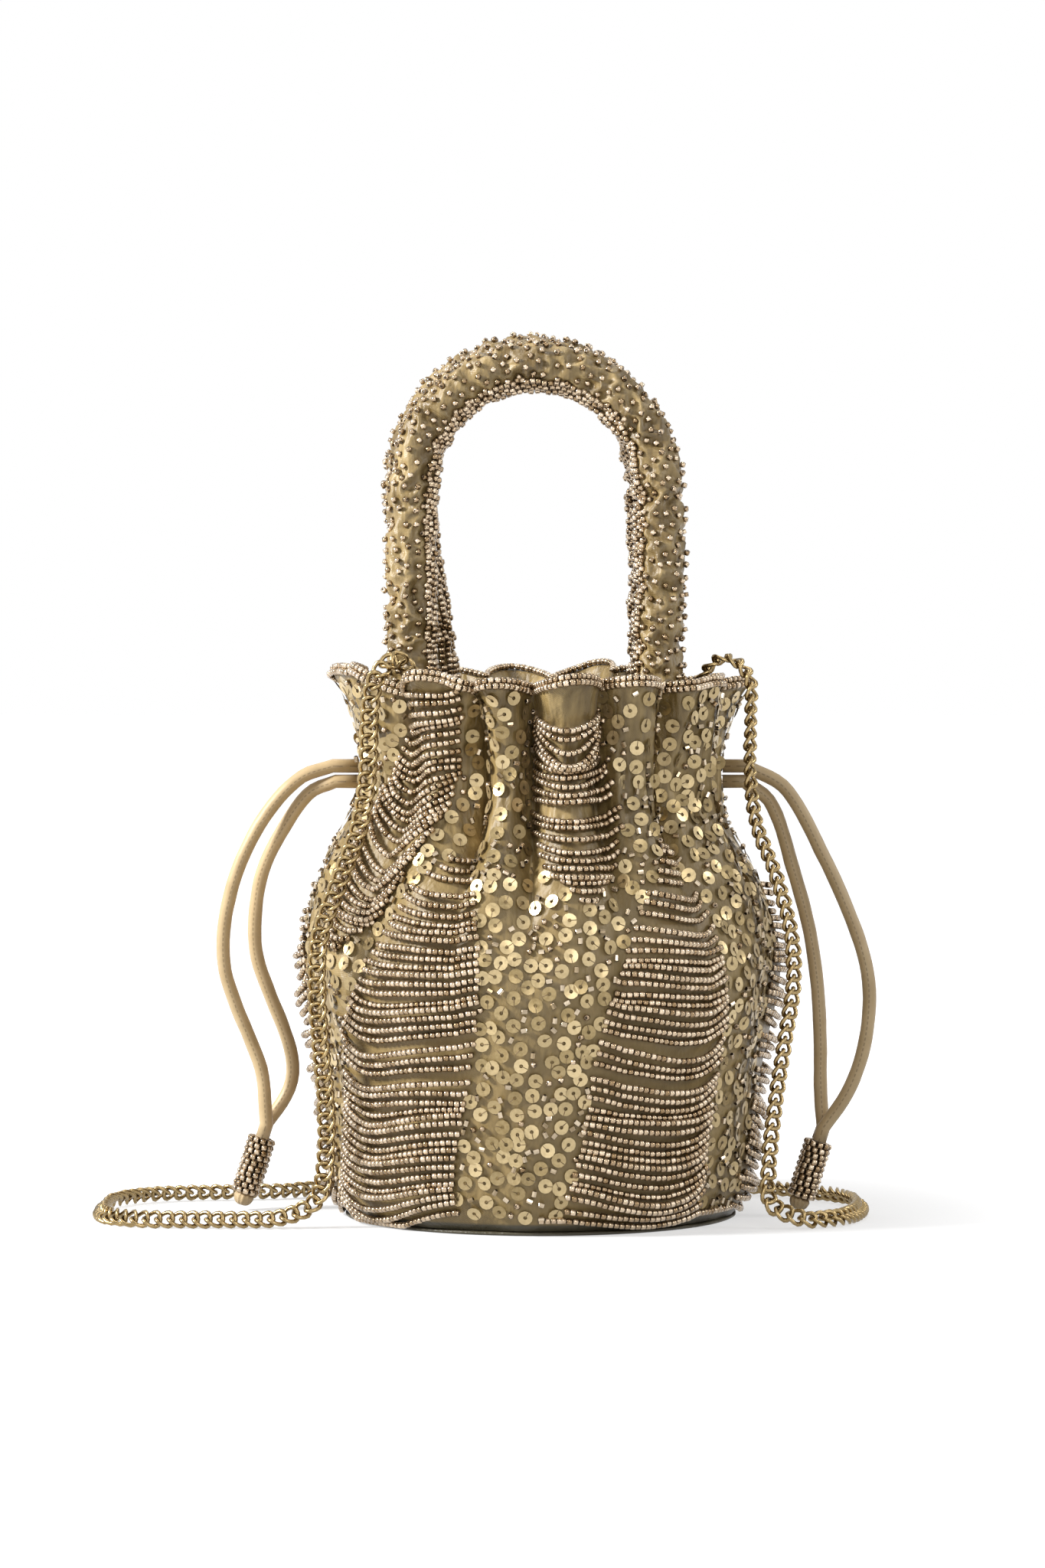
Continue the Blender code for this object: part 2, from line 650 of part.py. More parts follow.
# Chain on the floor: how far it reaches to each side and back, and its route in these shares
LOOP_LEFT, LOOP_RIGHT, LOOP_BACK = 0.1600, 0.1170, 0.0960
FLOOR_RUN = (
    (-0.6125, -0.5000), (-0.7812, -0.4948), (-0.9062, -0.4688), (-0.9812, -0.3438),
    (-1.0000, -0.0833), (-0.9812, 0.1875), (-0.8937, 0.3750), (-0.7500, 0.4375),
    (-0.6125, 0.4792), (-0.4875, 0.6250), (-0.3000, 0.8646), (0.0000, 1.0000),
    (0.4103, 0.8854), (0.6838, 0.6458), (0.8547, 0.4583), (0.9658, 0.2812),
    (1.0000, 0.0729), (0.9829, -0.2083), (0.9231, -0.4062), (0.8205, -0.5000),
)
RING_ANGLES = {"left": -48.0, "right": 73.0}
RING_DISTANCE, RING_HEIGHT, RING_LIFT = 0.0572, 0.1900, 58

# Stretches of the chain, each with the share of its length where it ends
CHAIN_STRETCHES = (
    ("chain_left_drop", 0.215), ("chain_left_front_run", 0.290), ("chain_left_turn", 0.375),
    ("chain_left_back_run", 0.450), ("chain_back_left", 0.540), ("chain_back_right", 0.640),
    ("chain_right_turn", 0.740), ("chain_right_front_run", 0.785), ("chain_right_drop", 1.0),
)


def ring_seat(side):
    """Centre of an end ring, and the unit vector from it to where the first link hangs."""
    angle = RING_ANGLES[side]
    lift = math.radians(RING_LIFT)
    pull = polar(angle, math.cos(lift), math.sin(lift))
    return polar(angle, RING_DISTANCE, RING_HEIGHT), pull


def chain_route():
    """Places of the links' centres, from the left ring to the right one."""
    floor = (LINK_WIDTH / 2) * math.sin(math.radians(LINK_TILT)) + LINK_WIRE * LINK_LIE
    ends = []
    for side in ("left", "right"):
        centre, pull = ring_seat(side)
        ends.append(centre + pull * (RING_RADIUS + RING_WIRE / 2 + CLEARANCE))
    knots = [ends[0]] + [polar(*place) for place in LEFT_DROP]
    for across, back in FLOOR_RUN:
        reach = LOOP_LEFT if across < 0 else LOOP_RIGHT
        knots.append(Vector((reach * across, LOOP_BACK * back, floor)))
    knots += [polar(*place) for place in reversed(RIGHT_DROP)] + [ends[1]]
    points = resample(knots, CHAIN_PITCH)
    return [Vector((place.x, place.y, max(place.z, floor))) for place in points]


def link_shape(shape, centre, along, face, tilt, reach):
    """Adds one link of three-sided wire to a bmesh; reach is its length ahead and behind."""
    side = along.cross(face).normalized()
    turn = math.radians(tilt)
    width = side * math.cos(turn) + face * math.sin(turn)
    normal = along.cross(width)
    wire = LINK_WIRE / 2
    half_width = LINK_WIDTH / 2 - wire
    corner = math.radians(LINK_CORNER)
    rings = []
    for x, y in ((1, -1), (1, 1), (-1, 1), (-1, -1)):
        out = along * (x * math.cos(corner)) + width * (y * math.sin(corner))
        middle = centre + along * reach[x] + width * (half_width * y)
        ring = []
        for k in range(3):
            around = math.pi + 2 * math.pi * k / 3
            spoke = out * math.cos(around) + normal * math.sin(around)
            ring.append(shape.verts.new(middle + spoke * wire))
        rings.append(ring)
    for k, ring in enumerate(rings):
        following = rings[(k + 1) % len(rings)]
        for j in range(3):
            n = (j + 1) % 3
            shape.faces.new((ring[j], following[j], following[n], ring[n]))


def link_faces(points):
    """Direction of the chain and the way its flat side faces at each link."""
    frames = []
    for k, place in enumerate(points):
        before, after = points[max(k - 1, 0)], points[min(k + 1, len(points) - 1)]
        along = (after - before).normalized()
        outward = Vector((place.x, place.y, 0)).normalized()
        hanging = place.z / LINK_WIDTH if place.z > LINK_WIDTH else 0
        face = Vector((0, 0, 1)) + outward * hanging
        face = (face - along * face.dot(along)).normalized()
        frames.append((along, face))
    return frames


def make_chain(finish):
    points = chain_route()
    frames = link_faces(points)
    spacing = (points[1] - points[0]).length
    inner_edge = LINK_WIRE / 2 * math.cos(math.radians(LINK_CORNER))
    half_length = (spacing + 2 * inner_edge - LINK_BITE) / 2
    first, whole = 0, CHAIN_STRETCHES[-1][1]
    for name, share in CHAIN_STRETCHES:
        last = round(share / whole * (len(points) - 1))
        halves = []
        for parity in (0, 1):
            shape = bmesh.new()
            for k in range(first, last + 1):
                if k % 2 == parity:
                    reach = {1: half_length, -1: -half_length}
                    if k == last < len(points) - 1:
                        reach[1] += LINK_BITE / 2 + CLEARANCE
                    if k == first > 0:
                        reach[-1] -= LINK_BITE / 2 + CLEARANCE
                    tilt = LINK_TILT if parity else -LINK_TILT
                    link_shape(shape, points[k], *frames[k], tilt, reach)
            halves.append(finish_mesh(f"{name}_{parity}", shape))
        chain = add_object(name, halves[0], finish)
        other = bpy.data.objects.new(f"{name}_other_links", halves[1])
        bpy.context.scene.collection.objects.link(other)
        other.hide_render = True
        other.display_type = "WIRE"
        join = chain.modifiers.new("links", "BOOLEAN")
        join.operation = "UNION"
        join.solver = "EXACT"
        join.object = other
        first = last + 1


def make_ring(side, metal):
    centre, pull = ring_seat(side)
    beside = Vector((pull.y, -pull.x, 0)).normalized()
    flat = pull.cross(beside)

    def place(i, j):
        turn = 2 * math.pi * (i % 8 + 0.5) / 8
        out = pull * math.cos(turn) + beside * math.sin(turn)
        roll = 2 * math.pi * (j % 4) / 4
        middle = centre + out * RING_RADIUS / math.cos(math.pi / 8)
        return middle + (out * math.cos(roll) + flat * math.sin(roll)) * RING_WIRE / 2

    name = f"chain_ring_{side}"
    add_object(name, finish_mesh(name, mapped_grid(8, 4, place)), metal)


def make_tab(side, satin):
    """Cloth tab sewn inside the rim, its end turned over the ring's lower wire."""
    angle = RING_ANGLES[side]
    centre, pull = ring_seat(side)
    outward = polar(angle, 1.0, 0.0)
    beside = Vector((outward.y, -outward.x, 0))
    eye = centre - pull * RING_RADIUS
    reach = RING_WIRE / 2 + CLEARANCE + TAB_THICKNESS / 2
    foot = flat_of(eye)[1] - TAB_DROP
    wall = lining_radius(angle, foot) - CLEARANCE - TAB_THICKNESS / 2
    route = [polar(angle, wall, foot)]
    route.append(polar(angle, wall - TAB_LIFT, foot + TAB_LIFT_SHARE * TAB_DROP))
    for turn in TAB_TURNS:
        swing = math.radians(turn)
        out, up = reach * math.cos(swing), reach * math.sin(swing)
        route.append(eye + outward * out + Vector((0, 0, up)))
    half = TAB_THICKNESS / 2
    rows = []
    for k, place in enumerate(route):
        before, after = route[max(k - 1, 0)], route[min(k + 1, len(route) - 1)]
        out = (after - before).normalized().cross(beside).normalized()
        edge = beside * (TAB_WIDTH / 2)
        face, back = place + out * half, place - out * half
        rows.append([face + edge, face - edge, back - edge, back + edge])
    name = f"chain_tab_{side}"
    shape = mapped_grid(4, len(rows) - 1, lambda i, j: rows[j][i % 4])
    add_object(name, finish_mesh(name, shape), satin)


def main():
    satin = material("champagne_satin", (0.60, 0.48, 0.29), 0.55)
    beads = material("silver_lined_beads", (0.62, 0.54, 0.42), 0.25, 0.7)
    inside = material("lining_satin", (0.55, 0.44, 0.27), 0.60)
    card = material("base_card", (0.45, 0.38, 0.28), 0.85)
    brass = material("antique_brass", (0.52, 0.42, 0.26), 0.30, 1.0)
    make_wall(satin)
    make_base_and_lining(satin, card, inside)
    make_rim_edging(beads)
    for name, swag in UPPER_SWAGS.items():
        make_swag(name, swag, True, beads)
    for name, swag in LOWER_SWAGS.items():
        make_swag(name, swag, False, beads)
    for name, handle in HANDLES.items():
        make_handle(name, handle, satin)
    for side in ("left", "right"):
        make_strands(side, satin)
        make_barrel(side, beads, satin)
        make_ring(side, brass)
        make_tab(side, satin)
    make_chain(brass)


main()
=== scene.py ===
"""Looks of a gathered potli bag: satin, draped bead strands, sequins, padded handles, chain.

Metres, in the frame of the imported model. Angles are in degrees round the bag, from the front,
growing towards +X.
"""

import bisect
import math
import random

import bmesh
import bpy
import numpy as np
from mathutils import Matrix, Vector, noise
from mathutils.bvhtree import BVHTree
from mathutils.kdtree import KDTree


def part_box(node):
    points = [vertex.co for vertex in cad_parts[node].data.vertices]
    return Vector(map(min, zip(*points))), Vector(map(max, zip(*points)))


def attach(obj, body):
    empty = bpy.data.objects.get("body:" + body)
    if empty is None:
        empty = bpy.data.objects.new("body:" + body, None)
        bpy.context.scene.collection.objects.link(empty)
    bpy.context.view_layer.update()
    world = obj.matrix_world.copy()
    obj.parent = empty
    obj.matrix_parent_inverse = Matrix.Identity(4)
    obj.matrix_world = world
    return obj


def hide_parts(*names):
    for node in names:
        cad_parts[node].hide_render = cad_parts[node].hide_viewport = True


# Wall: outer radius and pleat depth at each height, as in the part
WALL_FOOT = 0.0017
RIM_HEIGHT = 0.196
RIM_SCALLOP = 0.0030
RIM_RISE, RIM_FLARE = 0.0062, 0.0050
FLARE_START = 0.172
RIM_WAVES, FLARE_WAVES = 2.6, 4.1
WALL_THICKNESS = 0.0012
WALL_COLUMNS, WALL_ROWS = 14 * 24, 72
PLEAT_VALLEYS = (-49, -21, -3, 20, 43, 74, 106, 130, 153, 176, 200, 226, 254, 286)
PLEAT_ROUNDNESS = 0.75
# Narrow folds that the drawn cord pulls in at those valleys, clear of handles and tabs
PINCHES = (
    0, 0.0060, 0.0054, 0.0042, 0.0064, 0, 0.0035, 0, 0.0040, 0.0046, 0.0042, 0, 0.0035, 0,
)
PINCH_REACH = 2.7
# Where they start and how soon they are full, and what share of them is let out at the rim
PINCH_START, PINCH_RISE, RIM_OPENING = 0.116, 0.032, 0.45
# Wide hollow under the upper front left swag: its angle, depth and reach in degrees
HOLLOW_ANGLE, HOLLOW_DEPTH, HOLLOW_REACH = -28.0, 0.0052, 9.0
WALL_PROFILE = (
    (WALL_FOOT, 0.0715), (0.012, 0.0765), (0.050, 0.0812), (0.092, 0.0882),
    (0.122, 0.0825), (0.146, 0.0722), (0.168, 0.0700), (RIM_HEIGHT, 0.0745),
)
PLEAT_PROFILE = (
    (WALL_FOOT, 0.0), (0.050, 0.0), (0.092, 0.0020), (0.122, 0.0050),
    (0.146, 0.0090), (RIM_HEIGHT, 0.0090),
)
# Soft folds of the filled cloth: greatest depth at each height, and how they wind
FOLD_PROFILE = (
    (WALL_FOOT, 0.0), (0.050, 0.0009), (0.092, 0.0030), (0.122, 0.0026),
    (0.146, 0.0), (RIM_HEIGHT, 0.0),
)
FOLD_WAVES = ((7, 62.0, 0.4), (12, -48.0, 2.1))
LINING_FLOOR, LINING_TOP, LINING_THICKNESS = 0.0041, 0.186, 0.0006
LINING_CLEARANCE = 0.0005
BASE_RADIUS, BASE_THICKNESS, BASE_SIDES = 0.0715, 0.0014, 96

# Heights between which the painted shadow of the foot gives way to the satin, and the gathers
# set in with their painted shade
FOOT_SHADE, NECK_SHADE = (0.0036, 0.0046), (0.122, 0.150)

# Creases that gathering leaves in the satin
CASING_HEIGHT, CASING_REACH = 0.1610, 0.013
CREASE_DEPTH, PUCKER_DEPTH, RIPPLE_DEPTH = 0.0030, 0.0030, 0.0005
CREASE_START, CREASE_RISE, NECK_START = 0.095, 0.05, 0.14

# Beads, sequins and bugles
BEAD_RADIUS, BEAD_LENGTH = 0.00118, 0.00215
BEAD_PITCH = 0.00222
STRAND_PITCH = 0.00305
STRAND_SAG, LOWEST_STRAND = 0.0058, 0.0017
# Courses of strands, which swell to a crest; past BARE_BAND every other strand is left out
COURSE, COURSE_RELIEF = 0.0135, 0.0028
COURSE_CREST, BARE_BAND, COURSE_PULL = 0.72, 0.8, 0.0011
SEQUIN_RADIUS = 0.00265
# How much room each sequin asks for, and how far it tilts
SEQUIN_ROOMS, SEQUIN_TILT = (0.0018, 0.0025, 0.0031, 0.0034), 0.20
SEQUIN_TRIES, BEAD_TRIES = 13000, 16000
BEAD_ROOM, BUGLE_SHARE, DEEPEST_SEWN = 0.0013, 0.65, 0.0060
BUGLE_RADIUS, BUGLE_LENGTH = 0.00086, 0.0023
THREAD_RADIUS = 0.00012

# Half width of a leaf of strands along its length, as shares of its greatest half width
UPPER_LEAF = ((0.0, 0.72), (0.35, 0.86), (0.65, 1.0), (0.85, 0.72), (1.0, 0.0))
LOWER_LEAF = ((0.0, 1.05), (0.25, 0.98), (0.55, 0.96), (0.78, 0.66), (1.0, 0.0))
# Each swag: its angle at the rim or base, its angle at the tip, tip height, half width
UPPER_SWAGS = {
    "swag_upper_front_left": (-35, -58, 0.100, 0.0180),
    "swag_upper_front_right": (8, 12, 0.117, 0.0165),
    "swag_upper_right": (126, 127, 0.106, 0.0170),
    "swag_upper_back": (182, 188, 0.110, 0.0170),
    "swag_upper_left": (238, 242, 0.104, 0.0170),
}
LOWER_SWAGS = {
    "swag_lower_front_left": (-48, -23, 0.138, 0.0285),
    "swag_lower_front_right": (27, 38, 0.140, 0.0258),
    "swag_lower_right": (86, 92, 0.126, 0.0220),
    "swag_lower_back_right": (148, 158, 0.122, 0.0250),
    "swag_lower_back_left": (208, 216, 0.128, 0.0250),
    "swag_lower_left": (266, 268, 0.120, 0.0220),
}
SWAG_TOP, SWAG_FOOT = 0.192, 0.0035
# Where the strands of an upper swag hang deepest, and how many are left out at its top
DEEP_DRAPES = {
    "swag_upper_front_left": (0.139, 0), "swag_upper_front_right": (0.173, 3),
    "swag_upper_right": (0.160, 0), "swag_upper_back": (0.172, 2),
    "swag_upper_left": (0.150, 0),
}
DEEP_REACH, DEEP_SAG = 0.014, 1.6
# Swags whose strands hang lowest towards one edge: negative is the left one
SAG_SKEWS = {
    "swag_lower_front_left": -0.75, "swag_lower_front_right": 0.60,
    "swag_upper_front_left": 0.15, "swag_upper_front_right": -0.10,
}

# Padded handles
HANDLE_RADIUS, HANDLE_HEART = 0.0085, 0.235
HANDLE_FOOT_HEIGHT, HANDLE_SPRING_HEIGHT = 0.176, 0.266
HANDLE_HALF, HANDLE_LEAN = 0.0450, 0.0092
HANDLE_SPACING, GATHER_RELIEF = 0.0030, 0.0017
DIMPLE_REACH, DIMPLE_DEPTH = 0.0023, 0.0014
SINGLE_ROOM, SINGLE_TRIES = 0.00175, 9000
# Angles of the inner rows of beads, and where the single beads start
INNER_ROWS, INNER_EDGE = (-0.72, -0.43, -0.145, 0.145, 0.43, 0.72), 0.80
PADDING_VOXEL, PADDING_PRESSURE, PADDING_FRAMES, PADDING_SWELL = 0.0020, 4, 14, 0.0009
# Millimetres at each end of a handle that the bag hides
HIDDEN_FOOT = 14
# Each handle: side, feet as across and depth, middle of the arch, height of the top
HANDLES = {
    "handle_front": (-1, (-0.0475, -0.0196), (0.0425, -0.0301), -0.0020, 0.3105),
    "handle_rear": (1, (-0.0400, 0.0313), (0.0425, 0.0301), -0.0040, 0.3135),
}

# Drawcord strands, from the slot down to the barrel
CORD_DIAMETER = 0.005
SLOT_HEIGHT = 0.1615
# Slots in the wall: half width, half of the straight part, distance from the middle
SLOT_HALF_WIDTH, SLOT_STRAIGHT, SLOT_REACH, SLOT_DEPTH = 0.0033, 0.0029, 0.066, 0.02
SLOT_MARGIN, BUTTONHOLE_RADIUS, BUTTONHOLE_STITCHES = 0.0062, 0.0039, 44
STRANDS = {
    "drawcord_left_outer": (
        (-0.0665, 0.0000, 0.1643), (-0.0760, 0.0000, 0.1643), (-0.0880, -0.0010, 0.1600),
        (-0.1005, -0.0020, 0.1465), (-0.1100, -0.0020, 0.1285), (-0.1155, 0.0000, 0.1085),
        (-0.1160, 0.0020, 0.0910), (-0.1120, 0.0045, 0.0765), (-0.1070, 0.0065, 0.0640),
        (-0.1025, 0.0075, 0.0510), (-0.1009, 0.0083, 0.0321),
    ),
    "drawcord_left_inner": (
        (-0.0665, 0.0000, 0.1587), (-0.0750, 0.0000, 0.1587), (-0.0845, 0.0020, 0.1545),
        (-0.0935, 0.0040, 0.1425), (-0.1020, 0.0070, 0.1255), (-0.1050, 0.0095, 0.1080),
        (-0.1045, 0.0120, 0.0940), (-0.1000, 0.0140, 0.0800), (-0.0945, 0.0155, 0.0660),
        (-0.0915, 0.0160, 0.0540), (-0.0930, 0.0155, 0.0440), (-0.1009, 0.0137, 0.0321),
    ),
    "drawcord_right_outer": (
        (0.0665, 0.0000, 0.1643), (0.0750, 0.0000, 0.1643), (0.0895, -0.0015, 0.1560),
        (0.1030, -0.0030, 0.1320), (0.1135, -0.0060, 0.1085), (0.1185, -0.0085, 0.0925),
        (0.1198, -0.0100, 0.0795), (0.1178, -0.0110, 0.0625), (0.1125, -0.0115, 0.0470),
        (0.1031, -0.0107, 0.0326),
    ),
    "drawcord_right_inner": (
        (0.0665, 0.0000, 0.1587), (0.0740, 0.0000, 0.1587), (0.0840, 0.0010, 0.1510),
        (0.0925, 0.0005, 0.1260), (0.0980, -0.0005, 0.1055), (0.1010, -0.0020, 0.0855),
        (0.1022, -0.0035, 0.0640), (0.1022, -0.0045, 0.0480), (0.1031, -0.0054, 0.0326),
    ),
}
STRAND_SEATS = {
    "drawcord_left_outer": (-0.1024, 0.0083, 0.0273),
    "drawcord_left_inner": (-0.1024, 0.0137, 0.0273),
    "drawcord_right_outer": (0.1016, -0.0107, 0.0278),
    "drawcord_right_inner": (0.1016, -0.0054, 0.0278),
}

# Beaded barrels: the centres of the top and of the lower end above the cap
BARRELS = {
    "left": ((-0.1025, 0.0110, 0.0270), (-0.1090, 0.0110, 0.0065)),
    "right": ((0.1015, -0.0080, 0.0275), (0.0950, -0.0080, 0.0070)),
}
BARREL_RADIUS, BARREL_LENGTH, BARREL_ROWS = 0.0054, 0.0215, 10
CAP_LENGTH, BARREL_SIDES, CAP_LOBES = 0.0045, 48, 12

# Chain strap
CHAIN_PITCH, LINK_WIDTH, LINK_WIRE = 0.0045, 0.0076, 0.0017
LINK_TWIST, LINK_SQUARENESS, LINK_SLACK = 38, 0.85, 5
LINK_SIDES, WIRE_SIDES = 16, 6
# Height over which a hanging link leans over to lie down
LINK_RISE = 0.012
# How far the links that lie on the floor lean over
LINK_LEAN = math.radians(42)
# Which way the links of each hanging stretch face, at each height
CHAIN_TURN_LEFT = ((0.0, -32.0), (0.10, -28.0), (0.16, -20.0), (0.21, -34.0))
CHAIN_TURN_RIGHT = ((0.0, 48.0), (0.10, 52.0), (0.16, 66.0), (0.21, 72.0))
CHAIN_FLOOR = 0.0033
RINGS = {
    "left": ((-0.04251, -0.03827, 0.1900), (-0.39381, -0.35459, 0.84805), -48.0),
    "right": ((0.05470, -0.01672, 0.1900), (0.50676, -0.15493, 0.84805), 73.0),
}
RING_RADIUS, RING_WIRE, RING_SIDES, RING_WIRE_SIDES = 0.0038, 0.0016, 32, 12
TAB_HALF_WIDTH, TAB_HALF_THICKNESS = 0.0016, 0.0004
TAB_SECTION = (
    (1, 0.6), (0.85, 1), (-0.85, 1), (-1, 0.6), (-1, -0.6), (-0.85, -1), (0.85, -1), (1, -0.6),
)
LEFT_DROP = (
    (-48.0, 0.0645, 0.2015), (-48.2, 0.0710, 0.2040), (-48.8, 0.0785, 0.1975),
    (-49.6, 0.0805, 0.1850), (-50.3, 0.0805, 0.1650), (-51.0, 0.0835, 0.1450),
    (-52.0, 0.0915, 0.1250), (-53.0, 0.0990, 0.1050), (-54.0, 0.0990, 0.0880),
    (-55.0, 0.0965, 0.0680), (-56.0, 0.0930, 0.0450), (-57.5, 0.0920, 0.0220),
    (-60.0, 0.0945, 0.0090),
)
RIGHT_DROP = (
    (73.0, 0.0645, 0.2015), (73.0, 0.0710, 0.2040), (73.0, 0.0785, 0.1975),
    (72.5, 0.0795, 0.1850), (72.0, 0.0795, 0.1650), (71.5, 0.0820, 0.1450),
    (71.0, 0.0900, 0.1250), (70.0, 0.0960, 0.1050), (69.0, 0.0975, 0.0880),
    (68.0, 0.0950, 0.0680), (66.0, 0.0925, 0.0450), (63.0, 0.0920, 0.0220),
    (61.0, 0.0945, 0.0090),
)
FLOOR_RUN = (
    (-0.0980, -0.0480), (-0.1250, -0.0475), (-0.1450, -0.0450), (-0.1570, -0.0330),
    (-0.1600, -0.0080), (-0.1570, 0.0180), (-0.1430, 0.0360), (-0.1200, 0.0420),
    (-0.0980, 0.0460), (-0.0780, 0.0600), (-0.0480, 0.0830), (0.0000, 0.0960),
    (0.0480, 0.0850), (0.0800, 0.0620), (0.1000, 0.0440), (0.1130, 0.0270),
    (0.1170, 0.0070), (0.1150, -0.0200), (0.1080, -0.0390), (0.0960, -0.0480),
)
CHAIN_NODES = (
    "chain_left_drop", "chain_left_front_run", "chain_left_turn", "chain_left_back_run",
    "chain_back_left", "chain_back_right", "chain_right_turn", "chain_right_front_run",
    "chain_right_drop",
)

# Colours of each finish, dark and light
SATIN_COLORS = (0.165, 0.108, 0.032), (0.455, 0.330, 0.143)
HANDLE_COLORS = (0.17, 0.112, 0.038), (0.50, 0.365, 0.165)
LINING_COLORS = (0.26, 0.18, 0.085), (0.50, 0.37, 0.20)
CORD_COLORS = (0.44, 0.31, 0.155), (0.67, 0.51, 0.29)
GLASS_COLORS = (0.21, 0.125, 0.045), (0.72, 0.58, 0.42)
BUGLE_COLORS = (0.24, 0.165, 0.075), (0.74, 0.62, 0.46)
SEQUIN_COLORS = (0.26, 0.185, 0.075), (0.66, 0.52, 0.29)
BRASS_COLORS = (0.10, 0.068, 0.026), (0.43, 0.315, 0.155)
CARD_COLORS = (0.36, 0.30, 0.21), (0.52, 0.45, 0.34)
THREAD_COLORS = (0.11, 0.07, 0.03), (0.30, 0.21, 0.10)
FLOOR_COLORS = (0.39, 0.39, 0.39), (0.41, 0.41, 0.41)
# Painted shadow for the foot and base panel where the bag curves under, and painted shade for
# the holes of the beads
FOOT_SHADOW_COLOR, BEAD_HOLE_SHADE_COLOR = (0.075, 0.064, 0.036), (0.055, 0.036, 0.02)
SEAM_COLOR, SURROUND_COLOR = (0.22, 0.145, 0.065), (0.07, 0.07, 0.075)
BLACK, WHITE = (0.0, 0.0, 0.0), (1.0, 1.0, 1.0)

# Camera, and the lamps as name, place, aim, size and power
FOCAL_LENGTH, CAMERA_AIM = 137.5, (-0.0067, 0.0, 0.1577)
CAMERA_DISTANCE, CAMERA_LIFT = 2.19, math.radians(2.4)
LAMPS = (
    ("key_lamp", (-1.75, -0.55, 1.15), (0, 0, 0.13), 0.5, 76),
    ("fill_lamp", (0.4, -1.9, 0.9), (0, 0, 0.12), 1.0, 10),
    ("right_lamp", (1.7, -0.15, 1.0), (0, 0, 0.12), 0.5, 9),
    ("top_lamp", (0.0, 0.2, 1.8), (0, 0, 0.1), 0.7, 7),
)
# Distances from the bag between which the floor goes from shaded to white
FLOOR_FADE, FLOOR_GLOW, FLOOR_HALF = (0.08, 0.26), 0.58, 6.0

UP = Vector((0, 0, 1))


def through(knots, place):
    """Value at a place on the smooth curve through knots, each a place and a value."""
    places = [knot[0] for knot in knots]
    last = len(knots) - 1
    i = min(max(bisect.bisect_right(places, place) - 1, 0), last - 1)

    def slope(j):
        low, high = max(j - 1, 0), min(j + 1, last)
        return (knots[high][1] - knots[low][1]) / (places[high] - places[low])

    span = places[i + 1] - places[i]
    t = (place - places[i]) / span
    rise = t * t * (3 - 2 * t)
    start = slope(i) * (span * t * (1 - t) ** 2)
    finish = slope(i + 1) * (span * t * t * (t - 1))
    return knots[i][1] * (1 - rise) + knots[i + 1][1] * rise + start + finish


def resample(knots, spacing):
    """Evenly spaced points on the smooth curve through a list of points."""
    knots = [Vector(knot) for knot in knots]
    places = [0.0]
    for start, finish in zip(knots, knots[1:]):
        places.append(places[-1] + (finish - start).length)
    curve = list(zip(places, knots))
    fine = [through(curve, places[-1] * k / 600) for k in range(601)]
    return spaced(fine, spacing)


def spaced(line, spacing):
    """Evenly spaced points along a line of points, its two ends among them."""
    run = [0.0]
    for start, finish in zip(line, line[1:]):
        run.append(run[-1] + (finish - start).length)
    count = max(round(run[-1] / spacing), 1)
    points = []
    for k in range(count + 1):
        place = run[-1] * k / count
        i = min(max(bisect.bisect_right(run, place), 1), len(run) - 1)
        t = (place - run[i - 1]) / max(run[i] - run[i - 1], 1e-9)
        points.append(line[i - 1].lerp(line[i], t))
    return points


def clamped(share):
    return min(max(share, 0.0), 1.0)


def polar(angle, radius, height):
    """Point at an angle round the bag, a distance from its axis and a height."""
    turn = math.radians(angle)
    return Vector((radius * math.sin(turn), -radius * math.cos(turn), height))


def past(angle, middle):
    """How far an angle lies past another, from -180 to 180."""
    return (angle - middle + 180) % 360 - 180


def turn_of(i, sides):
    """Turn of corner i of a ring with so many sides, which closes on itself."""
    return 2 * math.pi * (i % sides) / sides


def either_side(points, k):
    """The points before and after point k of a line, or the point itself at an end."""
    return points[max(k - 1, 0)], points[min(k + 1, len(points) - 1)]


def ways_out(points, rise=0):
    """The way out from the bag's axis at each point, tipped up by a little rise."""
    return [Vector((point.x, point.y, rise)).normalized() for point in points]


def any_side(axis, rng):
    """A direction square to an axis, turned round it by chance."""
    side = axis.orthogonal().normalized()
    side.rotate(Matrix.Rotation(rng.uniform(0, 2 * math.pi), 3, axis))
    return side


def fold(angle):
    """0 in the valley between two pleats, 1 on a crest."""
    ring = PLEAT_VALLEYS + (PLEAT_VALLEYS[0] + 360,)
    inside = (angle - ring[0]) % 360 + ring[0]
    i = min(bisect.bisect_right(ring, inside), len(ring) - 1)
    low, high = ring[i - 1], ring[i]
    return max(math.sin(math.pi * (inside - low) / (high - low)), 0) ** PLEAT_ROUNDNESS


def slump(angle, level):
    """Depth of the soft folds, which cross each other as they wind round the bag."""
    share = 0.5
    for count, climb, start in FOLD_WAVES:
        share += 0.25 * math.sin(count * math.radians(angle) + climb * level + start)
    return max(through(FOLD_PROFILE, level), 0.0) * share


def wall_radius(angle, level):
    pleat = through(PLEAT_PROFILE, level) * (1 - fold(angle))
    return through(WALL_PROFILE, level) - pleat - slump(angle, level)


def rim_share(level):
    """0 below the place where the rim starts to flare, 1 at the rim."""
    return max((level - FLARE_START) / (RIM_HEIGHT - FLARE_START), 0.0)


def pinch(angle, level):
    """Depth of the narrow folds that the drawn cord pulls in between the pleats."""
    share = clamped((level - PINCH_START) / PINCH_RISE)
    share *= 1 - RIM_OPENING * rim_share(level)
    depth = HOLLOW_DEPTH * math.exp(-((past(angle, HOLLOW_ANGLE) / HOLLOW_REACH) ** 2))
    for valley, deepest in zip(PLEAT_VALLEYS, PINCHES):
        depth += deepest * math.exp(-((past(angle, valley) / PINCH_REACH) ** 2))
    return depth * share


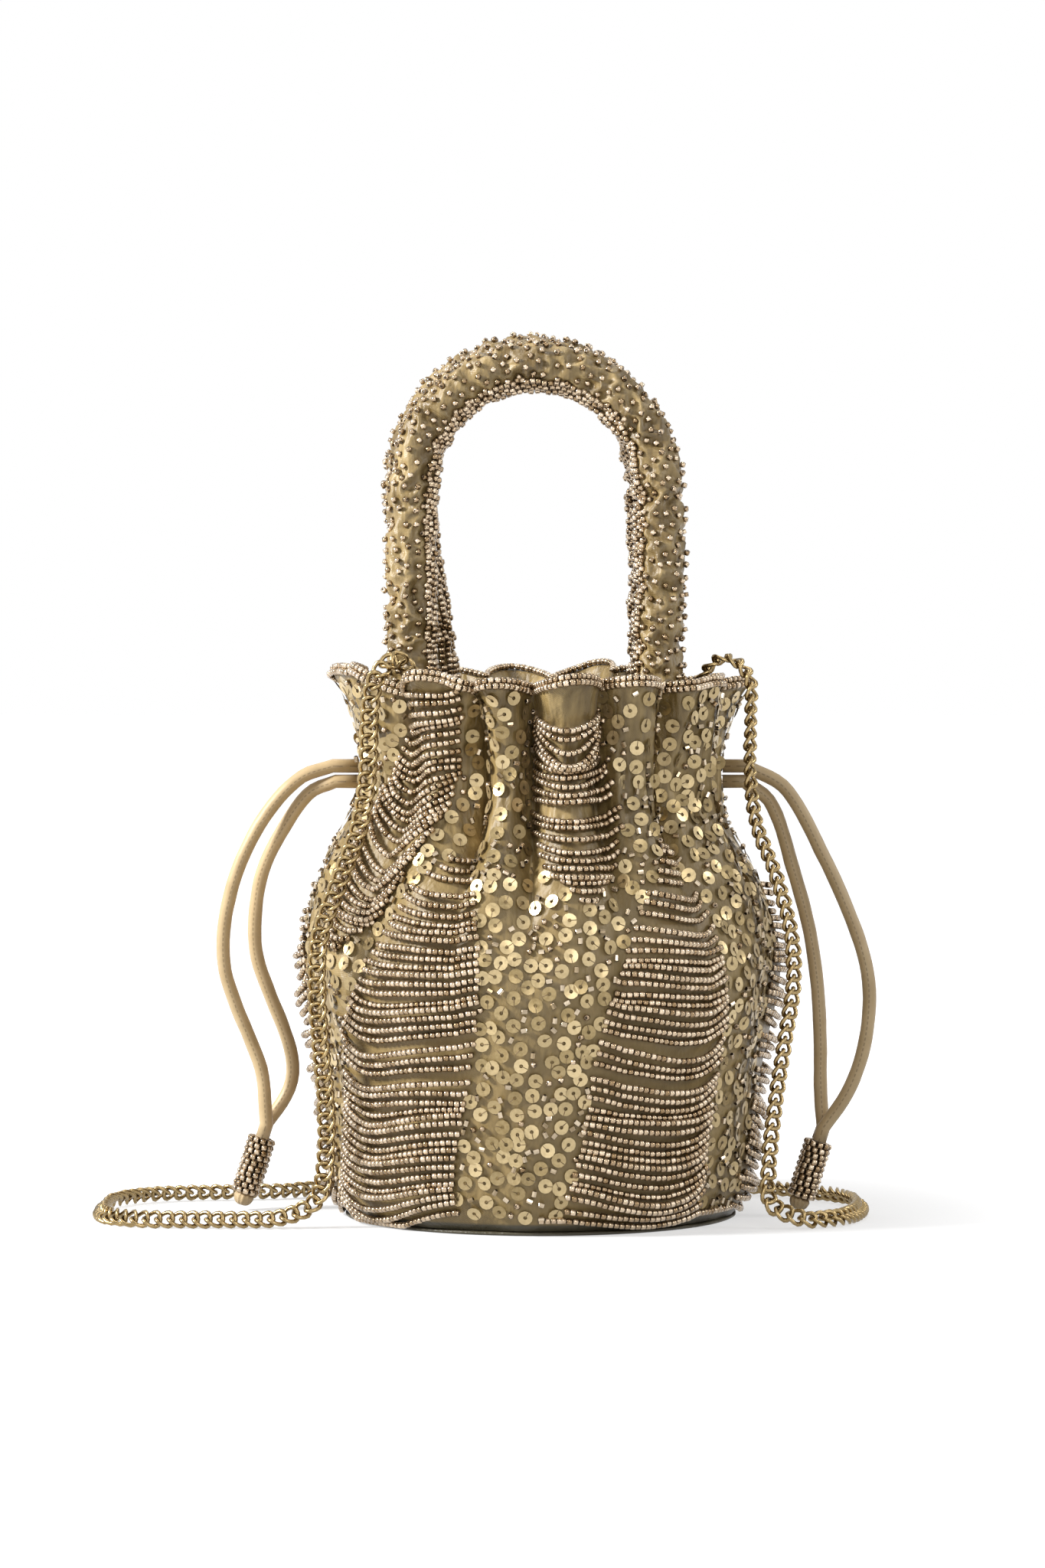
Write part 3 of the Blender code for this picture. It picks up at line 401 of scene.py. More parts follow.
def waves(angle, level, around, upward, start=0):
    """Smooth noise over the wall, so many waves round a radian and up a metre."""
    place = polar(angle, 1.0, 0.0)
    return noise.noise(Vector((place.x * around, place.y * around, level * upward + start)))


def crease(angle, level):
    """Depth of the small creases: puckers at the casing, soft folds below and above it."""
    near = math.exp(-(((level - CASING_HEIGHT) / CASING_REACH) ** 2))
    near += 0.25 if level > NECK_START else 0.0
    upper = clamped((level - CREASE_START) / CREASE_RISE)
    soft = waves(angle, level, 5, 16)
    pucker = 1 - abs(waves(angle, level, 13, 22, 7)) * 2
    ripple = waves(angle, level, 9, 60, 3)
    return (
        CREASE_DEPTH * (0.35 + upper) * (0.5 + soft)
        + PUCKER_DEPTH * near * pucker
        + RIPPLE_DEPTH * upper * ripple
    )


def cloth(angle, level):
    """Point on the satin's outer face. Level is the height before the rim rises and falls."""
    share = (level - WALL_FOOT) / (RIM_HEIGHT - WALL_FOOT)
    around = polar(angle, 1.0, 0.0)
    lean = noise.noise(around * RIM_WAVES + Vector((4, 1, 9)))
    rim = RIM_HEIGHT + RIM_SCALLOP * (fold(angle) - 0.5) + RIM_RISE * lean
    flare = rim_share(level) ** 2
    edge = clamped((RIM_HEIGHT - level) / 0.006)
    radius = wall_radius(angle, level) - crease(angle, level) * (0.4 + 0.6 * edge)
    radius -= pinch(angle, level)
    ruffle = noise.noise(around * FLARE_WAVES + Vector((2, 7, 5)))
    radius += RIM_FLARE * flare * (0.3 + 1.6 * ruffle)
    return polar(angle, radius, WALL_FOOT + share * (rim - WALL_FOOT))


def outward(angle, level):
    """Direction straight out of the satin."""
    across = cloth(angle + 0.8, level) - cloth(angle - 0.8, level)
    along = cloth(angle, min(level + 0.0009, RIM_HEIGHT)) - cloth(angle, level - 0.0009)
    return across.cross(along).normalized()


# Materials


class Value:
    """A link in a material's nodes that takes part in sums as a number would."""

    def __init__(self, finish, socket):
        self.finish, self.socket = finish, socket

    def __add__(self, other):
        return self.finish.reckon("ADD", self, other)

    def __radd__(self, other):
        return self.finish.reckon("ADD", other, self)

    def __sub__(self, other):
        return self.finish.reckon("SUBTRACT", self, other)

    def __rsub__(self, other):
        return self.finish.reckon("SUBTRACT", other, self)

    def __mul__(self, other):
        return self.finish.reckon("MULTIPLY", self, other)

    def __rmul__(self, other):
        return self.finish.reckon("MULTIPLY", other, self)


class Finish:
    """A material, with the constants of its surface set on the shader itself."""

    def __init__(self, name, color, roughness, metallic=0.0, **constants):
        self.material = bpy.data.materials.new(name)
        self.material.use_nodes = True
        self.tree = self.material.node_tree
        self.shader = self.tree.nodes["Principled BSDF"]
        self.give("Base Color", (*color, 1.0))
        self.give("Roughness", roughness)
        self.give("Metallic", metallic)
        for setting, value in constants.items():
            self.give(setting.replace("_", " ").title().replace("Ior", "IOR"), value)

    def feed(self, socket, value):
        if isinstance(value, Value):
            self.tree.links.new(value.socket, socket)
        else:
            socket.default_value = value

    def give(self, name, value):
        self.feed(self.shader.inputs[name], value)

    def node(self, kind, settings=None, sockets=None, output=0):
        made = self.tree.nodes.new(kind)
        for name, value in (settings or {}).items():
            setattr(made, name, value)
        for name, value in (sockets or {}).items():
            self.feed(made.inputs[name], value)
        return Value(self, made.outputs[output])

    def reckon(self, operation, *values):
        sockets = dict(enumerate(values))
        return self.node("ShaderNodeMath", {"operation": operation}, sockets)

    def place(self):
        return self.node("ShaderNodeTexCoord", output="Object")

    def attribute(self, name):
        return self.node("ShaderNodeAttribute", {"attribute_name": name}, output="Fac")

    def stretched(self, vector, scale):
        settings = {"operation": "MULTIPLY"}
        return self.node("ShaderNodeVectorMath", settings, {0: vector, 1: scale})

    def cloud(self, vector, scale, detail=3.0):
        sockets = {"Vector": vector, "Scale": scale, "Detail": detail}
        return self.node("ShaderNodeTexNoise", {}, sockets)

    def part_of(self, vector, axis):
        return self.node("ShaderNodeSeparateXYZ", {}, {0: vector}, output=axis)

    def wave(self, value, period):
        """A number that goes smoothly from 0 to 1 and back once in each period."""
        return self.reckon("SINE", value * (2 * math.pi / period)) * 0.5 + 0.5

    def ramp(self, value, low, high, **settings):
        """A number that goes from 0 to 1 as the value goes from low to high."""
        sockets = {"Value": value, "From Min": low, "From Max": high}
        return self.node("ShaderNodeMapRange", settings, sockets)

    def blend(self, share, low, high):
        made = self.tree.nodes.new("ShaderNodeMix")
        made.data_type, made.clamp_factor = "RGBA", True
        self.feed(made.inputs[0], share)
        self.feed(made.inputs[6], low if isinstance(low, Value) else (*low, 1.0))
        self.feed(made.inputs[7], high if isinstance(high, Value) else (*high, 1.0))
        return Value(self, made.outputs[2])

    def raise_surface(self, height, distance, strength=1.0):
        sockets = {"Height": height, "Distance": distance, "Strength": strength}
        self.give("Normal", self.node("ShaderNodeBump", {}, sockets))


def satin_finish(name, colors, roughness, wrinkle=15.0):
    """Satin: a fine slanted weave, soft patches of colour and small wrinkles, with painted
    shade in the gathers of the neck and a painted shadow at the foot.
    """
    satin = Finish(name, colors[1], roughness, sheen_weight=0.06, sheen_roughness=0.35)
    place = satin.place()
    patches = satin.cloud(place, 55.0, 4.0)
    fibre = satin.cloud(satin.stretched(place, (900.0, 900.0, 260.0)), 1.0, 2.0)
    x, y, z = (satin.part_of(place, axis) for axis in ("X", "Y", "Z"))
    twill = satin.wave(x + y + z * 1.6, 0.00075)
    gathers = satin.cloud(satin.stretched(place, (210.0, 210.0, 34.0)), 1.0, 2.0)
    neck = satin.ramp(z, *NECK_SHADE)
    # drawn raises the bump of the gathers and, in the colour, lays painted shade in their
    # creases
    drawn = (gathers - 0.52) * neck
    # neck darkens the whole neck a little more as painted shade
    share = patches * 0.9 + fibre * 0.35 + twill * 0.18 - 0.32 + drawn * 2.2 - neck * 0.06
    # Below the foot heights the colour turns to a painted shadow, where the bag curves under
    above = satin.ramp(z, *FOOT_SHADE)
    satin.give("Base Color", satin.blend(above, FOOT_SHADOW_COLOR, satin.blend(share, *colors)))
    satin.give("Roughness", patches * 0.22 + (roughness - 0.10))
    folds = satin.cloud(satin.stretched(place, (85.0, 85.0, 50.0)), 1.0, 4.0)
    relief = folds * wrinkle + drawn * 9.0 + twill * 0.22 + fibre * 0.35
    satin.raise_surface(relief, 0.00016)
    return satin.material


def bead_finish(name, colors, roughness, metallic):
    """Silver-lined glass: bright where the lining shows, each bead its own shade, and painted
    shade dark in the holes.
    """
    glass = Finish(
        name, colors[1], roughness, metallic, coat_weight=0.45, coat_roughness=0.05, ior=1.52
    )
    shade, hollow = glass.attribute("shade"), glass.attribute("hollow")
    patches = glass.cloud(glass.place(), 800.0, 1.0)
    lined = glass.blend(shade * 0.85 + patches * 0.3 - 0.08, *colors)
    # The corners round each hole take a painted shade, dark as a shaded hole
    glass.give("Base Color", glass.blend(hollow * 0.9, lined, BEAD_HOLE_SHADE_COLOR))
    glass.give("Roughness", shade * 0.16 + (roughness - 0.05))
    return glass.material


def sequin_finish():
    """Thin metallic discs, each with its own shade, rubbed in places."""
    disc = Finish("sequin_gold", (0.48, 0.37, 0.20), 0.36, 0.7, coat_weight=0.12)
    rubbed = disc.cloud(disc.place(), 900.0, 2.0)
    share = disc.attribute("shade") * 0.8 + rubbed * 0.5 - 0.15
    disc.give("Base Color", disc.blend(share, *SEQUIN_COLORS))
    disc.give("Roughness", rubbed * 0.25 + 0.22)
    disc.raise_surface(rubbed, 0.00005)
    return disc.material


def brass_finish():
    """Antique gold plating, darker in its hollows and rubbed bright on its edges."""
    brass = Finish("antique_brass", (0.42, 0.32, 0.16), 0.24, 1.0)
    place = brass.place()
    tarnish = brass.cloud(place, 420.0, 4.0)
    sides = brass.node("ShaderNodeNewGeometry", output="Pointiness")
    edge = (sides - 0.5) * 6.0 + 0.5
    share = tarnish * 0.9 + edge * 0.35 - 0.15
    brass.give("Base Color", brass.blend(share, *BRASS_COLORS))
    brass.give("Roughness", tarnish * 0.30 + 0.12)
    brass.raise_surface(brass.cloud(place, 2600.0, 2.0), 0.00003)
    return brass.material


def cord_finish():
    """A tube of satin: weave along it, and a run of stitches down one side."""
    cord = Finish("cord_satin", (0.62, 0.46, 0.25), 0.45, sheen_weight=0.2)
    flat = cord.node("ShaderNodeUVMap", {"uv_map": "UVMap"})
    around, along = (cord.part_of(flat, axis) for axis in ("X", "Y"))
    weave = cord.wave(around + along * 4.0, 0.022)
    patches = cord.cloud(cord.place(), 120.0, 3.0)
    seam = cord.reckon("LESS_THAN", cord.reckon("ABSOLUTE", around - 0.5), 0.015)
    stitch = cord.reckon("LESS_THAN", cord.wave(along, 0.012), 0.62)
    share = patches + weave * 0.06 - 0.12
    cloth_color = cord.blend(share, *CORD_COLORS)
    cord.give("Base Color", cord.blend(seam * stitch * 0.6, cloth_color, SEAM_COLOR))
    cord.raise_surface(weave * 0.08 + patches * 2.0 - seam * 0.9, 0.00014)
    return cord.material


def card_finish():
    card = Finish("stiff_card", (0.45, 0.38, 0.28), 0.85)
    fibre = card.cloud(card.place(), 600.0, 4.0)
    card.give("Base Color", card.blend(fibre, *CARD_COLORS))
    card.raise_surface(fibre, 0.0001)
    return card.material


def thread_finish():
    thread = Finish("sewing_thread", (0.20, 0.13, 0.06), 0.6)
    fibre = thread.cloud(thread.place(), 4000.0, 2.0)
    thread.give("Base Color", thread.blend(fibre, *THREAD_COLORS))
    return thread.material


# Mesh building


def mapped_grid(across, along, place):
    """A grid of faces whose corner (i, j) lies at place(i, j), welded where corners meet."""
    shape = bmesh.new()
    shape.loops.layers.uv.new("UVMap")
    bmesh.ops.create_grid(
        shape, x_segments=across, y_segments=along, size=1.0, calc_uvs=True
    )
    for corner in shape.verts:
        i = round((corner.co.x + 1) / 2 * across)
        j = round((corner.co.y + 1) / 2 * along)
        corner.co = place(i, j)
    bmesh.ops.remove_doubles(shape, verts=shape.verts, dist=1e-7)
    bmesh.ops.recalc_face_normals(shape, faces=shape.faces)
    return shape


def mesh_from(name, shape):
    mesh = bpy.data.meshes.new(name)
    shape.to_mesh(mesh)
    shape.free()
    return mesh


def put(name, data):
    """A new object in the scene."""
    made = bpy.data.objects.new(name, data)
    bpy.context.scene.collection.objects.link(made)
    return made


def settle(made):
    """Keeps what a piece's modifiers have made of its mesh."""
    graph = bpy.context.evaluated_depsgraph_get()
    mesh = bpy.data.meshes.new_from_object(made.evaluated_get(graph))
    made.modifiers.clear()
    made.data = mesh


def piece(name, shape, finish, crease_angle=None):
    """A finished piece of the object, at the origin, riding on the bag."""
    mesh = mesh_from(name, shape) if isinstance(shape, bmesh.types.BMesh) else shape
    mesh.materials.clear()
    mesh.materials.append(finish)
    mesh.shade_smooth()
    if crease_angle:
        mesh.set_sharp_from_angle(angle=math.radians(crease_angle))
    made = put(name, mesh)
    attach(made, "root")
    return made


def small_shape(name, section, sides, closed=False):
    """A small body turned about Z. Its section lists heights and radii."""
    rows = section + section[:1] if closed else section

    def place(i, j):
        height, radius = rows[j]
        turn = turn_of(i, sides)
        return Vector((radius * math.cos(turn), radius * math.sin(turn), height))

    mesh = mesh_from(name, mapped_grid(sides, len(rows) - 1, place))
    widest = max(radius for _, radius in section)
    # hollow marks the corners round the hole, which the glass finish paints dark as shade
    hollow = mesh.attributes.new("hollow", "FLOAT", "POINT")
    for corner, value in zip(mesh.vertices, hollow.data):
        value.value = 1.0 if math.hypot(corner.co.x, corner.co.y) < widest * 0.75 else 0.0
    return mesh


def standing(axis, side):
    """Turn that puts Z along axis and X as near to side as it goes."""
    z = axis.normalized()
    x = (side - z * side.dot(z)).normalized()
    return Matrix((x, z.cross(x), z)).transposed()


def copies(name, shape, places, finish, crease_angle=None):
    """One piece made of copies of a small shape; each place is a point, a turn and a shade."""
    count, size = len(places), len(shape.vertices)
    corners = np.empty(size * 3, np.float32)
    shape.vertices.foreach_get("co", corners)
    corners = corners.reshape(-1, 3)
    turns = np.array([turn for _, turn, _ in places], np.float32)
    points = np.array([point for point, _, _ in places], np.float32)
    laid = np.einsum("kij,nj->kni", turns, corners) + points[:, None, :]
    loops = np.empty(len(shape.loops), np.int32)
    shape.loops.foreach_get("vertex_index", loops)
    starts = np.empty(len(shape.polygons), np.int32)
    shape.polygons.foreach_get("loop_start", starts)
    step = np.arange(count, dtype=np.int32)[:, None]
    mesh = bpy.data.meshes.new(name)
    mesh.vertices.add(count * size)
    mesh.vertices.foreach_set("co", laid.ravel())
    mesh.loops.add(count * len(loops))
    mesh.loops.foreach_set("vertex_index", (loops + step * size).ravel())
    mesh.polygons.add(count * len(starts))
    mesh.polygons.foreach_set("loop_start", (starts + step * len(loops)).ravel())
    mesh.update(calc_edges=True)
    shades = np.repeat([shade for _, _, shade in places], size).astype(np.float32)
    mesh.attributes.new("shade", "FLOAT", "POINT").data.foreach_set("value", shades)
    if "hollow" in shape.attributes:
        hollow = np.empty(size, np.float32)
        shape.attributes["hollow"].data.foreach_get("value", hollow)
        made = mesh.attributes.new("hollow", "FLOAT", "POINT")
        made.data.foreach_set("value", np.tile(hollow, count))
    return piece(name, mesh, finish, crease_angle)


def tube(name, points, radius, finish, sides=14, wobble=0.0):
    """A round tube along points, closed at both ends, with its UV map round and along it."""
    frames = []
    side = Vector((0, 1, 0))
    for k, point in enumerate(points):
        before, after = either_side(points, k)
        along = (after - before).normalized()
        side = (side - along * side.dot(along)).normalized()
        frames.append((point, side, along.cross(side)))
    frames = [frames[0]] + frames + [frames[-1]]
    last = len(frames) - 1

    def place(i, j):
        point, first, second = frames[j]
        if j in (0, last):
            return point.copy()
        turn = turn_of(i, sides)
        out = first * math.cos(turn) + second * math.sin(turn)
        bump = noise.noise((point + out * radius) * 160) * wobble
        return point + out * (radius + bump)

    return piece(name, mapped_grid(sides, last, place), finish)


# Camera, light and floor


def make_camera():
    data = bpy.data.cameras.new("camera")
    data.sensor_width = 36.0
    data.lens = FOCAL_LENGTH
    camera = put("camera", data)
    back = Vector((0, -math.cos(CAMERA_LIFT), math.sin(CAMERA_LIFT)))
    camera.location = Vector(CAMERA_AIM) + back * CAMERA_DISTANCE
    camera.rotation_euler = (-back).to_track_quat("-Z", "Y").to_euler()
    bpy.context.scene.camera = camera


def make_lamp(name, place, aim, size, power):
    data = bpy.data.lights.new(name, "AREA")
    data.shape = "DISK"
    data.size = size
    data.energy = power
    lamp = put(name, data)
    lamp.location = place
    toward = Vector(aim) - Vector(place)
    lamp.rotation_euler = toward.to_track_quat("-Z", "Y").to_euler()


def make_world():
    """A surround that is white to the camera and in reflections, and dim as a light."""
    scene = bpy.context.scene
    scene.view_settings.view_transform = "Standard"
    world = bpy.data.worlds.new("studio")
    world.use_nodes = True
    scene.world = world
    nodes, links = world.node_tree.nodes, world.node_tree.links
    light_path = nodes.new("ShaderNodeLightPath")
    seen = nodes.new("ShaderNodeMath")
    seen.operation = "MAXIMUM"
    links.new(light_path.outputs["Is Camera Ray"], seen.inputs[0])
    links.new(light_path.outputs["Is Glossy Ray"], seen.inputs[1])
    clear = nodes.new("ShaderNodeMath")
    clear.operation = "MAXIMUM"
    links.new(seen.outputs[0], clear.inputs[0])
    links.new(light_path.outputs["Is Transmission Ray"], clear.inputs[1])
    mix = nodes.new("ShaderNodeMix")
    mix.data_type = "RGBA"
    mix.inputs[6].default_value = (*SURROUND_COLOR, 1.0)
    mix.inputs[7].default_value = (*WHITE, 1.0)
    links.new(clear.outputs[0], mix.inputs[0])
    links.new(mix.outputs[2], nodes["Background"].inputs["Color"])


def make_floor():
    """A pale floor that fades to white away from the bag."""
    floor = Finish("pale_floor", (0.4, 0.4, 0.4), 0.9, specular_ior_level=0.1)
    speck = floor.cloud(floor.place(), 40.0, 2.0)
    floor.give("Base Color", floor.blend(speck, *FLOOR_COLORS))
    in_view = floor.node("ShaderNodeLightPath", output="Is Camera Ray")
    in_gloss = floor.node("ShaderNodeLightPath", output="Is Glossy Ray")
    seen = floor.reckon("MAXIMUM", in_view, in_gloss)
    length = {"operation": "LENGTH"}
    flat = floor.node("ShaderNodeVectorMath", length, {0: floor.place()}, output="Value")
    far = floor.ramp(flat, *FLOOR_FADE, interpolation_type="SMOOTHSTEP")
    glow = seen * (far * (1 - FLOOR_GLOW) + FLOOR_GLOW)
    floor.give("Emission Color", floor.blend(glow, BLACK, WHITE))
    floor.give("Emission Strength", 1.0)
    shape = bmesh.new()
    bmesh.ops.create_grid(shape, x_segments=4, y_segments=4, size=FLOOR_HALF)
    mesh = mesh_from("floor", shape)
    mesh.materials.append(floor.material)
    ground = put("floor", mesh)


# The bag's own pieces


def make_cords(satin, beads):
    """Four strands of tube cord, each pair ending in a beaded barrel."""
    for side in ("left", "right"):
        make_barrel(side, beads, satin)
    for name, knots in STRANDS.items():
        side = name.split("_")[1]
        way = -1 if side == "left" else 1
        points = [Vector(knots[0])] + resample(knots[1:], 0.0030) + [Vector(STRAND_SEATS[name])]
        cord = tube(name + "_cloth", points, CORD_DIAMETER / 2, satin, 16, 0.00016)
        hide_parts(name)
        way * 0.070


def make_barrel(side, beads, satin):
    """Rings of seed beads sewn round a satin core, closed by a puff of satin."""
    top, foot = (Vector(end) for end in BARRELS[side])
    down = (foot - top).normalized()
    across = down.cross(Vector((0, 1, 0))).normalized()
    beside = down.cross(across)
    rng = random.Random(11 if side == "left" else 12)
    core_radius = BARREL_RADIUS - 2 * BEAD_RADIUS
    core_section = [(0.0002, 0.0), (0.0003, core_radius), (BARREL_LENGTH, core_radius)]
    core_section.append((BARREL_LENGTH + 0.0001, 0.0))
    puff_section = [(BARREL_LENGTH + 0.0002, 0.0), (BARREL_LENGTH + 0.0002, core_radius)]
    for k in range(1, 7):
        turn = math.pi / 2 * k / 6
        puff_section.append(
            (BARREL_LENGTH + 0.0002 + CAP_LENGTH * math.sin(turn),
             (core_radius + 0.0006) * math.cos(turn) ** 0.6)
        )

    def turned(name, section, lobes):
        def place(i, j):
            along, radius = section[j]
            turn = turn_of(i, BARREL_SIDES)
            radius *= 1 + lobes * math.cos(CAP_LOBES * turn)
            out = across * math.cos(turn) + beside * math.sin(turn)
            return top + down * along + out * radius

        made = piece(name, mapped_grid(BARREL_SIDES, len(section) - 1, place), satin)
        return made

    turned(f"barrel_core_{side}", core_section, 0.0)
    puff = turned(f"barrel_puff_{side}", puff_section, 0.06)
    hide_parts(f"barrel_cap_{side}")
    ring = BARREL_RADIUS - BEAD_RADIUS
    count = int(2 * math.pi * ring / BEAD_PITCH)
    places = []
    for row in range(BARREL_ROWS):
        along = BARREL_LENGTH * (row + 0.5) / BARREL_ROWS
        offset = rng.random()
        for k in range(count):
            turn = 2 * math.pi * (k + offset) / count
            out = across * math.cos(turn) + beside * math.sin(turn)
            tangent = beside * math.cos(turn) - across * math.sin(turn)
            spot = top + down * along + out * (ring + rng.uniform(-1, 1) * 0.00008)
            places.append((spot, standing(tangent, out), rng.random()))
    made = copies(f"barrel_beads_{side}", BEAD, places, beads)
    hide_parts(f"cord_barrel_{side}")


def make_wall(satin):
    """The gathered wall, closed over its rim, with a slot at each side for the cords."""
    columns = WALL_COLUMNS
    height = RIM_HEIGHT - WALL_FOOT
    levels = [WALL_FOOT + height * k / WALL_ROWS for k in range(WALL_ROWS + 1)]
    inner = [RIM_HEIGHT - 0.0009 - k * 0.0045 for k in range(5)]
    inner += [0.168 - (0.168 - WALL_FOOT) * k / 12 for k in range(13)]
    rows = []
    step = 360 / columns
    for i in range(columns):
        angle = PLEAT_VALLEYS[0] + i * step
        line = [cloth(angle, level) for level in levels]
        for level in inner:
            point = cloth(angle, level)
            line.append(point - polar(angle, WALL_THICKNESS, 0))
        rows.append(line + line[:1])

    shape = mapped_grid(columns, len(rows[0]) - 1, lambda i, j: rows[i % columns][j])
    wall = piece("bag_satin", shape, satin)
    cutters = []
    for side in (-1, 1):
        cutter = bmesh.new()
        turn = Matrix.Rotation(math.pi / 2, 4, "Y")
        bmesh.ops.create_cone(
            cutter, cap_ends=True, segments=20, depth=SLOT_DEPTH,
            radius1=SLOT_HALF_WIDTH, radius2=SLOT_HALF_WIDTH,
            matrix=Matrix.Translation((side * SLOT_REACH, 0, SLOT_HEIGHT)) @ turn,
        )
        for corner in cutter.verts:
            if abs(corner.co.z - SLOT_HEIGHT) > 1e-5:
                corner.co.z += math.copysign(SLOT_STRAIGHT, corner.co.z - SLOT_HEIGHT)
        tool = put("slot_cutter", mesh_from("slot_cutter", cutter))
        cut = wall.modifiers.new("slot", "BOOLEAN")
        cut.operation, cut.solver, cut.object = "DIFFERENCE", "EXACT", tool
        cutters.append(tool)
    settle(wall)
    for tool in cutters:
        bpy.data.objects.remove(tool)
    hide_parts("outer_shell")


def make_base(satin, lining_satin, card):
    """Base panel with a soft rolled edge, the lining, and the board between them."""
    inner = BASE_RADIUS - 0.001
    panel_section = [(0.0, 0.0), (inner, 0.0), (BASE_RADIUS, 0.0004), (BASE_RADIUS, 0.0010)]
    panel_section += [(inner, BASE_THICKNESS), (0.0, BASE_THICKNESS)]

    def panel(i, j):
        radius, height = panel_section[j]
        return polar(360 * (i % BASE_SIDES) / BASE_SIDES, radius, height)

    # The base panel lies below the foot heights, so it takes the satin's painted shadow all
    # over
    base = piece("base_satin", mapped_grid(BASE_SIDES, len(panel_section) - 1, panel), satin)
    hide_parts("base_panel")

    levels = [0.0052, 0.012, 0.025, 0.05, 0.075, 0.1, 0.122, 0.135, 0.146, 0.155, 0.162]
    levels += [0.168, 0.175, 0.18, LINING_TOP]
    columns = WALL_COLUMNS
    floor = Vector((0, 0, LINING_FLOOR))
    above = Vector((0, 0, LINING_FLOOR + LINING_THICKNESS))
    lines = []
    for i in range(columns):
        angle = PLEAT_VALLEYS[0] + 360 * i / columns
        outer = []
        for level in levels:
            flat = cloth(angle, level)
            depth = through(PLEAT_PROFILE, level)
            radius = through(WALL_PROFILE, level) - depth * (1 - 0.30 * fold(angle))
            radius -= max(through(FOLD_PROFILE, level), 0.0)
            radius = min(radius, math.hypot(flat.x, flat.y)) - WALL_THICKNESS - LINING_CLEARANCE
            ripple = noise.noise(polar(angle, 0.07, level) * 90) * 0.0004
            outer.append(polar(angle, radius - abs(ripple), flat.z))
        inner = [point - polar(angle, LINING_THICKNESS, 0) for point in reversed(outer)]
        outer[0].z, inner[-1].z = floor.z, above.z
        lines.append([floor] + outer + inner + [above])

    shape = mapped_grid(columns, len(lines[0]) - 1, lambda i, j: lines[i % columns][j])
    inside = piece("lining_cloth", shape, lining_satin)
    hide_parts("lining")
    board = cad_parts["base_board"]
    board.data.materials.clear()
    board.data.materials.append(card)


def bead_row(points, outs, rng, jitter=0.00006, sway=1):
    """Places for beads strung along points, each with the way out beside it."""
    places = []
    for k, (point, out) in enumerate(zip(points, outs)):
        before, after = either_side(points, k)
        shift = Vector([rng.uniform(-1, 1) * jitter for _ in range(3)])
        turn = standing(after - before + shift * sway, out)
        places.append((point + shift, turn, rng.random()))
    return places


def strand_line(spread, middle, level, sag, lift, skew, samples=26):
    """A strand from one side of a leaf to the other, held off the hollows by its pull."""
    rise = []
    for k in range(samples + 1):
        across = 2 * k / samples - 1
        drop = sag * (1 - across * across) * (1 + skew * across)
        rise.append((middle + spread * across, max(level - drop, LOWEST_STRAND)))
    line = [cloth(angle, low) for angle, low in rise]
    reach = [math.hypot(point.x, point.y) for point in line]
    for _ in range(10):
        reach = [reach[0]] + [
            max(reach[k], (reach[k - 1] + reach[k + 1]) / 2) for k in range(1, samples)
        ] + [reach[-1]]
    strand = []
    for k in range(samples + 1):
        across = 2 * k / samples - 1
        puff = lift * max(1 - across**4, 0.0)
        strand.append(polar(rise[k][0], reach[k] + BEAD_RADIUS * 1.05 + puff, line[k].z))
    return strand


def make_swag(name, swag, upper, beads):
    """Strands of seed beads sewn down at their two ends, each with its own sag."""
    root_angle, tip_angle, tip_height, half_width = swag
    leaf = UPPER_LEAF if upper else LOWER_LEAF
    root = SWAG_TOP if upper else SWAG_FOOT
    rng = random.Random(name)
    rows = round(abs(tip_height - root) / STRAND_PITCH)
    places = []
    deep, bare = DEEP_DRAPES.get(name, (1.0, 0))
    skew = SAG_SKEWS.get(name, 0.2)
    for row in range(bare, rows):
        t = (row + 0.4) / rows
        level = root + (tip_height - root) * t + rng.uniform(-1, 1) * 0.0003
        middle = root_angle + (tip_angle - root_angle) * t
        width = max(half_width * through(leaf, t), 0.0025) + rng.uniform(-0.0006, 0.0006)
        spread = math.degrees(width / wall_radius(middle, level))
        drift = 0.75 + 0.8 * noise.noise(Vector((row * 0.35, root_angle * 0.13, 0.5)))
        deeper = 1 + DEEP_SAG * math.exp(-(((level - deep) / DEEP_REACH) ** 2))
        sag = STRAND_SAG * drift * deeper * (width / half_width) ** 1.5
        down = abs(level - root) / COURSE % 1.0
        if down > BARE_BAND and row % 2:
            continue
        if down < COURSE_CREST:
            course = down / COURSE_CREST
        else:
            course = (1 - down) / (1 - COURSE_CREST)
        lift = COURSE_RELIEF * course * (0.6 + 0.4 * drift)
        level += COURSE_PULL * (course - 0.5) * (-1 if upper else 1)
        line = strand_line(spread, middle, level + sag * 0.5, sag, lift, skew)
        points = spaced(line, BEAD_PITCH)
        places += bead_row(points, ways_out(points), rng, 0.00009, 2)
    made = copies(name + "_beads", BEAD, places, beads)
    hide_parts(name)


def in_leaf(angle, level, margin):
    """True where a swag of strands covers the satin."""
    for swags, leaf, root in (
        (UPPER_SWAGS, UPPER_LEAF, SWAG_TOP), (LOWER_SWAGS, LOWER_LEAF, SWAG_FOOT)
    ):
        for root_angle, tip_angle, tip_height, half_width in swags.values():
            t = (level - root) / (tip_height - root)
            if not -0.01 <= t <= 1.0:
                continue
            middle = root_angle + (tip_angle - root_angle) * t
            aside = math.radians(abs(past(angle, middle)))
            width = half_width * through(leaf, max(t, 0.0))
            if aside * wall_radius(angle, level) < width + margin:
                return True
    return False


